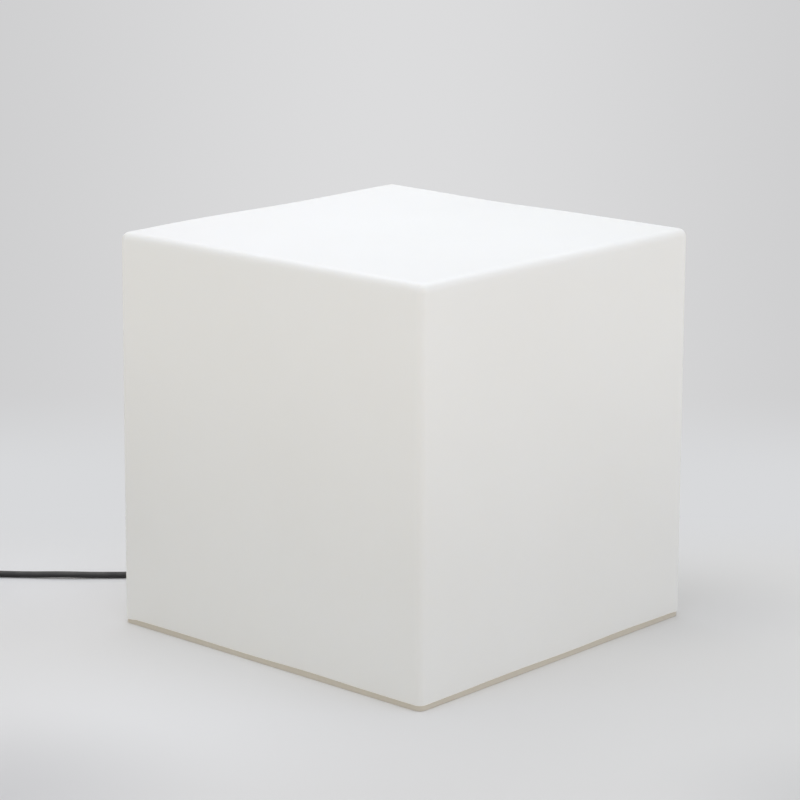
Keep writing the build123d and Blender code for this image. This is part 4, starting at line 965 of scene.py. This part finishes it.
@dataclass
class MouldedCube:
    """The hollow cube: soft edges, leaning sides, an open underside, the cord's channel and a foot rim."""

    side: float = 0.400
    bottom: float = 0.005
    top: float = 0.400
    lean: float = math.radians(0.22)
    edge: float = 0.008
    foot_edge: float = 0.002
    rim_inset: float = 0.001
    rim_width: float = 0.003
    rim_low: float = 0.0002
    rim_root: float = 0.008
    wall: float = 0.004
    recess_radius: float = 0.134
    recess_top: float = 0.024
    opening_radius: float = 0.100
    channel_half: float = 0.009
    channel_arch: float = 0.012
    channel_start: float = 0.11
    corner_points: int = 9
    beyond: float = 0.1
    swells: tuple[Swell, ...] = ()

    def section(self, steps: int) -> tuple[np.ndarray, np.ndarray]:
        """Walks once round a unit square with quarter-turn corners.

        Args:
            steps: Points along each side.

        Returns:
            The square's points, and the outward direction at each, both as arrays of points by two.
        """
        corners = np.array([(1, -1), (1, 1), (-1, 1), (-1, -1)], float)
        spots, ways = [], []
        for index, corner in enumerate(corners):
            turn = (index - 0.5) * math.pi / 2 + np.linspace(-math.pi / 4, math.pi / 4, self.corner_points)
            spots.append(np.repeat(corner[None, :], self.corner_points, 0))
            ways.append(np.stack([np.cos(turn), np.sin(turn)], -1))
            share = np.linspace(0, 1, steps + 1)[1:-1, None]
            following = corners[(index + 1) % 4]
            spots.append(corner + (following - corner) * share)
            straight = index * math.pi / 2
            ways.append(np.repeat([[math.cos(straight), math.sin(straight)]], steps - 1, 0))
        return np.concatenate(spots), np.concatenate(ways)

    def half_width(self, height: np.ndarray) -> np.ndarray:
        """Half the outer width at a height: it shrinks evenly as the sides lean in."""
        return self.side / 2 - (height - self.bottom) * math.tan(self.lean)

    def box_grid(self, inset: float, foot: float, steps: int, rows: int) -> Grid:
        """A closed box with rounded edges: square core of half-width a(v), pushed out by r(v) along n(u).

        Args:
            inset: Distance inside the outer surface.
            foot: Radius of the lowest edges.
            steps: Points along each side.
            rows: Rows on the sides, the top and the underside.

        Returns:
            Grid of rows by points round.
        """
        bend = self.edge - inset
        low, high = self.bottom + inset, self.top - inset
        arc = np.linspace(0, math.pi / 2, self.corner_points)
        fall = 1 - np.cos(arc)
        sides = np.linspace(low + foot, high - bend, rows + 1)[1:-1]
        height = np.concatenate([low + foot * fall, sides, high - bend * fall[::-1]])
        lowest = bend - foot + foot * np.sin(arc)
        push = np.concatenate([lowest, np.full(len(sides), bend), bend * np.sin(arc[::-1])])
        core = self.half_width(height) - self.edge
        shrink = np.linspace(0, 1, rows // 2)[:-1]
        core = np.concatenate([core[0] * shrink, core, core[-1] * shrink[::-1]])
        push = np.concatenate([push[0] * shrink, push, 0 * shrink])
        height = np.concatenate([0 * shrink + low, height, 0 * shrink + high])
        spots, ways = self.section(steps)
        flat = core[:, None, None] * spots[None] + push[:, None, None] * ways[None]
        return np.concatenate([flat, np.broadcast_to(height[:, None, None], (*flat.shape[:2], 1))], -1)

    def swell(self, grid: Grid) -> Grid:
        """Moves points by each swell's shift times exp(-(distance / reach) squared)."""
        moved = grid.copy()
        for swell in self.swells:
            far = np.linalg.norm(grid - np.array(swell.centre), axis=-1)
            moved += np.exp(-((far / swell.reach) ** 2))[..., None] * np.array(swell.move)
        return moved

    def build(self, wardrobe: Wardrobe) -> None:
        """Makes the cube's shell by cutting the hollow, recess, opening and channel out of the block."""
        block_grid = self.swell(self.box_grid(0.0, self.foot_edge, 40, 40))
        block = build_mesh("moulded_cube", [(block_grid, Seam.ROUND)])
        hollow_grid = self.box_grid(self.wall, self.edge - self.wall, 4, 6)
        hollow = build_mesh("cut_hollow", [(hollow_grid, Seam.ROUND)])
        tower = self.round_cutter(self.recess_radius + self.wall, self.recess_top + self.wall)
        carve(hollow, tower, self.channel_cutter(self.wall, -self.side / 2 - self.beyond))
        recess = self.round_cutter(self.recess_radius, self.recess_top)
        opening = self.round_cutter(self.opening_radius, self.recess_top + 4 * self.wall)
        carve(block, hollow, recess, opening, self.channel_cutter(0.0, self.channel_start))
        soften(block, 30.0)
        wardrobe.dress(block, "satin_polyethylene")
        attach(block, "cube")
        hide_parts("diffuser_cube")
        log.info("moulded cube with %d faces", len(block.data.polygons))
        self.build_rim(wardrobe)

    def build_rim(self, wardrobe: Wardrobe) -> None:
        """Makes the foot rim under the cube: a ring of square section, open where the cord leaves, in plastic
        painted darker as shade.
        """
        spots, ways = self.section(40)
        core = self.side / 2 - self.edge
        outer = self.edge - self.rim_inset
        inner = outer - self.rim_width
        rows = []
        for push, height in (
            (outer, self.rim_low), (outer, self.rim_root), (inner, self.rim_root), (inner, self.rim_low),
        ):
            rows.append(np.insert(core * spots + push * ways, 2, height, axis=1))
        rim = build_mesh("foot_rim", [(np.stack(rows), Seam.RING)])
        carve(rim, self.channel_cutter(0.0, self.channel_start))
        soften(rim, 30.0)
        wardrobe.dress(rim, "rim_polyethylene_painted_shade")
        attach(rim, "cube")

    def round_cutter(self, radius: float, high: float) -> bpy.types.Object:
        """Makes a closed drum from under the floor to a height."""
        profile = np.array([(0, -self.beyond), (radius, -self.beyond), (radius, high), (0, high)])
        return build_mesh("drum", [(revolve(profile, 160), Seam.ROUND)])

    def channel_cutter(self, grow: float, start: float) -> bpy.types.Object:
        """Makes a closed bar along Y whose section is a round arch on legs that go under the floor.

        Args:
            grow: How far the section stands outside the channel's own.
            start: Lowest Y.

        Returns:
            The cutter.
        """
        end = self.side / 2 + self.beyond
        reach = self.channel_half + grow
        turn = np.linspace(0, math.pi, 17)
        arch = np.stack([reach * np.cos(turn), self.channel_arch + reach * np.sin(turn)], -1)
        loop = np.concatenate([[[reach, -self.beyond]], arch, [[-reach, -self.beyond]]])
        middle = np.zeros_like(loop)
        rows = ((middle, start), (loop, start), (loop, end), (middle, end))
        grid = np.stack([np.insert(ring, 1, y, axis=1) for ring, y in rows])
        return build_mesh("bar", [(grid, Seam.ROUND)])


def carve(body: bpy.types.Object, *cutters: bpy.types.Object) -> None:
    """Cuts pieces out of a body in turn, keeps the result in its mesh and removes the cutters.

    Args:
        body: The piece that is cut.
        cutters: What is taken out.
    """
    for cutter in cutters:
        cut = body.modifiers.new("cut", "BOOLEAN")
        cut.operation, cut.solver, cut.object = "DIFFERENCE", "MANIFOLD", cutter
    graph = bpy.context.evaluated_depsgraph_get()
    mesh = bpy.data.meshes.new_from_object(body.evaluated_get(graph))
    body.modifiers.clear()
    body.data = mesh
    for cutter in cutters:
        bpy.data.objects.remove(cutter)


def moulding_swells() -> tuple[Swell, ...]:
    """Uneven shrinkage of the moulding, as seen along the cube's edges."""
    return (
        Swell((0.20, 0.20, 0.40), 0.07, (0, 0, 0.0009)),
        Swell((-0.09, 0.20, 0.40), 0.06, (0, 0, 0.0004)),
        Swell((0.03, 0.20, 0.40), 0.06, (0, 0, -0.0005)),
        Swell((-0.20, 0.20, 0.40), 0.05, (0, 0, -0.0008)),
        Swell((0.20, 0.04, 0.40), 0.06, (0, 0, -0.0009)),
        Swell((-0.20, -0.06, 0.004), 0.05, (0, 0, 0.0009)),
        Swell((-0.20, 0.13, 0.004), 0.05, (0, 0, 0.0004)),
        Swell((-0.07, -0.20, 0.004), 0.06, (0, 0, 0.0008)),
        Swell((0.10, -0.20, 0.004), 0.05, (0, 0, 0.0009)),
        Swell((-0.20, 0.20, 0.004), 0.010, (0, 0, -0.0026)),
        Swell((0.20, -0.20, 0.004), 0.009, (0, 0, -0.0012)),
    )


# ---- Lamp base, pillar and lampholder -----------------------------------------------------------


@dataclass
class LampBase:
    """The round base: its CAD nodes keep their shape and get their finishes, and the boot is modelled."""

    boot_bore: float = 0.00345
    collar: tuple[tuple[float, float, float], ...] = (
        (0.0058, 0.126, 0.0003),
        (0.0058, 0.1321, 0),
        (0.0076, 0.1321, 0.0004),
        (0.0076, 0.1351, 0.0004),
    )
    boot_start: float = 0.1351
    boot_root: float = 0.0062
    boot_tip: float = 0.0044
    boot_end: float = 0.165
    boot_ribs: int = 6
    groove_depth: float = 0.0011
    axis_height: float = 0.013

    def build(self, wardrobe: Wardrobe) -> None:
        """Dresses the base, the pillar and the wiring, and makes the cord's boot."""
        wardrobe.dress_nodes("base_plastic", "lamp_base", "base_cover", "lamp_pillar")
        wardrobe.dress_nodes("gasket_foam", "base_gasket")
        wardrobe.dress_nodes("foot_rubber", "rubber_feet")
        wardrobe.dress_nodes(
            "zinc_plate", "cover_screws", "pillar_screws", "holder_nipple", "nipple_nuts", "terminal_screws",
            "cord_clamp", "clamp_screws",
        )
        wardrobe.dress_nodes("block_plastic", "terminal_block")
        wardrobe.dress_nodes("spring_brass", "block_screws", "contact_tongue", "holder_terminals")
        wardrobe.dress_nodes("brown_insulation", "supply_live", "lamp_live")
        wardrobe.dress_nodes("blue_insulation", "supply_neutral", "lamp_neutral")
        wardrobe.dress_nodes("cord_rubber", "inner_lead")
        wardrobe.dress_nodes("holder_plastic", "holder_cap", "holder_barrel")
        wardrobe.dress_nodes("glazed_core", "holder_core")
        self.build_boot(wardrobe)

    def build_boot(self, wardrobe: Wardrobe) -> None:
        """Makes the ribbed rubber boot: rings of falling radius with grooves between them, round the cord."""
        inner = self.boot_bore
        corners = [(inner, self.collar[0][1], 0), *self.collar, (self.boot_root, self.boot_start, 0)]
        span = (self.boot_end - self.boot_start) / self.boot_ribs
        for rib in range(self.boot_ribs):
            start = self.boot_start + rib * span
            share = (rib + 0.5) / self.boot_ribs
            radius = self.boot_root + (self.boot_tip - self.boot_root) * share
            groove = max(radius - self.groove_depth, inner + 0.0004)
            corners += [(radius, start + 0.1 * span, 0.0003), (radius, start + 0.62 * span, 0.0003)]
            corners += [(groove, start + 0.7 * span, 0.0001), (groove, start + 0.95 * span, 0.0001)]
        corners += [(self.boot_tip, self.boot_end - 0.0004, 0.0002), (self.boot_tip, self.boot_end, 0.0002)]
        corners += [(inner, self.boot_end, 0)]
        profile = rounded_profile(corners, 4)
        grid = place(revolve(profile, 48), (0, 0, self.axis_height), (0, 1, 0))
        boot = build_mesh("cord_boot", [(grid, Seam.RING)])
        wardrobe.dress(boot, "cord_rubber")
        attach(boot, "base")
        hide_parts("strain_relief")
        log.info("cord boot with %d ribs", self.boot_ribs)


@dataclass
class RolledThread:
    """A thin rolled screw thread: radius plus a wave that climbs one lead each turn."""

    name: str
    node: str
    body: str
    slot: str
    low: float
    high: float
    radius: float
    depth: float
    wall: float
    fade_low: float = 0.0008
    fade_high: float = 0.0018
    lead: float = 0.003629
    row_height: float = 0.00025
    segments: int = 96

    def wave(self, angle: np.ndarray, height: np.ndarray) -> np.ndarray:
        """Height of the rolled crest: half the depth times one plus the cosine of the thread's phase.

        Args:
            angle: Angles round the axis.
            height: Heights over the floor.

        Returns:
            Distance outside the root, fading out at both ends.
        """
        phase = 2 * math.pi * (height - self.low) / self.lead - angle
        fade = np.clip((height - self.low) / self.fade_low, 0, 1)
        fade = fade * np.clip((self.high - height) / self.fade_high, 0, 1)
        return fade * self.depth * 0.5 * (1 + np.cos(phase))

    def build(self, wardrobe: Wardrobe, finish: str, bottom_lip: float = 0.0) -> None:
        """Makes the thread as a closed thin sheet.

        Args:
            wardrobe: The materials.
            finish: Name of its finish.
            bottom_lip: How far the lower end turns inwards.
        """
        rows = int((self.high - self.low) / self.row_height)
        height = np.linspace(self.low, self.high, rows)[:, None]
        angle = np.linspace(0, 2 * math.pi, self.segments, endpoint=False)[None, :]
        outer = self.radius + self.wave(angle, height)
        inner = outer - self.wall
        radius = np.concatenate([outer, inner[::-1]])
        height = np.concatenate([height, height[::-1]])
        if bottom_lip > 0:
            lip_in = np.full((1, angle.shape[1]), self.radius - bottom_lip)
            radius = np.concatenate([lip_in, radius, lip_in])
            height = np.concatenate([[[self.low]], height, [[self.low + self.wall]]])
        grid = np.stack(np.broadcast_arrays(radius * np.cos(angle), radius * np.sin(angle), height), -1)
        piece = build_mesh(self.name, [(grid, Seam.RING)], crease=50.0)
        wardrobe.dress(piece, finish)
        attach(piece, self.body)
        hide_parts(self.node)
        log.info("%s with %d faces", self.name, len(piece.data.polygons))


@dataclass
class ScrewBulb:
    """The bulb: rolled cap, insulator and eyelet, plastic body, chips under an opal globe."""

    cap_low: float = 0.1208
    cap_high: float = 0.1423
    cap_root: float = 0.0124
    cap_depth: float = 0.0007
    cap_wall: float = 0.0005

    def build(self, wardrobe: Wardrobe) -> None:
        """Makes the rolled cap and dresses the other nodes."""
        cap = RolledThread(
            "bulb_cap_thread", "bulb_cap", "bulb", "nickel", self.cap_low, self.cap_high, self.cap_root,
            self.cap_depth, self.cap_wall, fade_low=0.0012, fade_high=0.003,
        )
        cap.build(wardrobe, "nickel_plate", bottom_lip=0.002)
        wardrobe.dress_nodes("nickel_plate", "bulb_eyelet")
        wardrobe.dress_nodes("black_glass", "bulb_insulator")
        wardrobe.dress_nodes("bulb_plastic", "bulb_body")
        wardrobe.dress_nodes("board_mask", "led_board")
        wardrobe.dress_nodes("phosphor", "led_chips")
        wardrobe.dress_nodes("board_green", "driver_board")
        wardrobe.dress_nodes("component_black", "driver_parts")
        wardrobe.dress_nodes("opal_globe", "bulb_dome")


# ---- Plug ---------------------------------------------------------------------------------------


@dataclass
class MainsPlug:
    """The moulded two-pin plug: a neck with grip rings that swells into a flat-sided body."""

    neck_length: float = 0.024
    neck_tip: float = 0.0046
    neck_root: float = 0.0070
    ring_pitch: float = 0.0032
    ring_depth: float = 0.0009
    body_length: float = 0.034
    swell_lead: float = 0.004
    swell_share: float = 0.55
    width: float = 0.035
    height: float = 0.0268
    square_run: float = 0.012
    square_power: float = 1.6
    end_radius: float = 0.002

    def section_sizes(self, along: np.ndarray) -> tuple[np.ndarray, np.ndarray]:
        """Half width and half height of the plug at distances from the cord's end of its neck."""
        swell_start = self.neck_length - self.swell_lead
        swell_end = self.neck_length + self.body_length * self.swell_share
        share = np.clip((along - swell_start) / (swell_end - swell_start), 0, 1)
        ease = share * share * (3 - 2 * share)
        ringed = (along > 0.0015) & (along < swell_start - 0.001)
        rings = self.ring_depth / 2 * (np.cos(along * 2 * math.pi / self.ring_pitch) - 1)
        neck = np.interp(along, [0, self.neck_length], [self.neck_tip, self.neck_root]) + rings * ringed
        return neck + (self.width / 2 - neck) * ease, neck + (self.height / 2 - neck) * ease

    def build(self, wardrobe: Wardrobe, cord: MainsCord) -> bpy.types.Object:
        """Makes the plug's body: superellipse sections whose power rises from round to squarish.

        Args:
            wardrobe: The materials.
            cord: The cord that it is on.

        Returns:
            The plug's body.
        """
        flat_end = self.neck_length + self.body_length - self.end_radius
        bend = self.end_radius * np.sin(np.linspace(0, math.pi / 2, 8)[1:])
        along = np.concatenate([np.linspace(0, flat_end, 110), flat_end + bend])[:, None]
        half_width, half_height = self.section_sizes(along)
        squareness = np.clip((along - self.neck_length + self.swell_lead) / self.square_run, 0, 1)
        power = 2 + self.square_power * squareness
        past = np.clip((along - flat_end) / self.end_radius, 0, 1)
        inset = self.end_radius * (1 - np.sqrt(1 - past**2))
        angle = np.linspace(0, 2 * math.pi, 96, endpoint=False)[None, :]
        cosine, sine = np.cos(angle), np.sin(angle)
        reach = (np.abs(cosine) ** power + np.abs(sine) ** power) ** (-1 / power)
        wide, high = (half_width - inset) * reach * cosine, (half_height - inset) * reach * sine
        grid = np.stack(np.broadcast_arrays(wide, high, along), -1)
        on_axis = np.array([0, 0, 1.0])
        grid = np.concatenate([grid[:1] * on_axis, grid, grid[-1:] * on_axis])
        origin, way = cord.plug_frame()
        plug = build_mesh("plug_shell", [(place(grid, origin, way), Seam.ROUND)])
        wardrobe.dress(plug, "plug_rubber")
        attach(plug, "base")
        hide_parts("plug_body")
        wardrobe.dress_nodes("nickel_plate", "plug_pins")
        log.info("plug shell with %d faces", len(plug.data.polygons))
        return plug


# ---- Putting it together ------------------------------------------------------------------------


def main() -> None:
    """Builds the camera, the cord and every sub-assembly."""
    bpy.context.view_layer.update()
    Viewpoint().build()
    wardrobe = Wardrobe()
    cord = MainsCord()
    cord_piece = cord.build(wardrobe)
    plug = MainsPlug().build(wardrobe, cord)
    wardrobe.dress_nodes("gasket_foam", "cord_tie")
    MouldedCube(swells=moulding_swells()).build(wardrobe)
    LampBase().build(wardrobe)
    RolledThread(
        "socket_thread", "screw_sleeve", "base", "nickel", 0.1135, 0.1355, 0.0139, -0.0001, 0.0004,
    ).build(wardrobe, "nickel_plate")
    ScrewBulb().build(wardrobe)
    Studio().build()


if __name__ == "__main__":
    main()
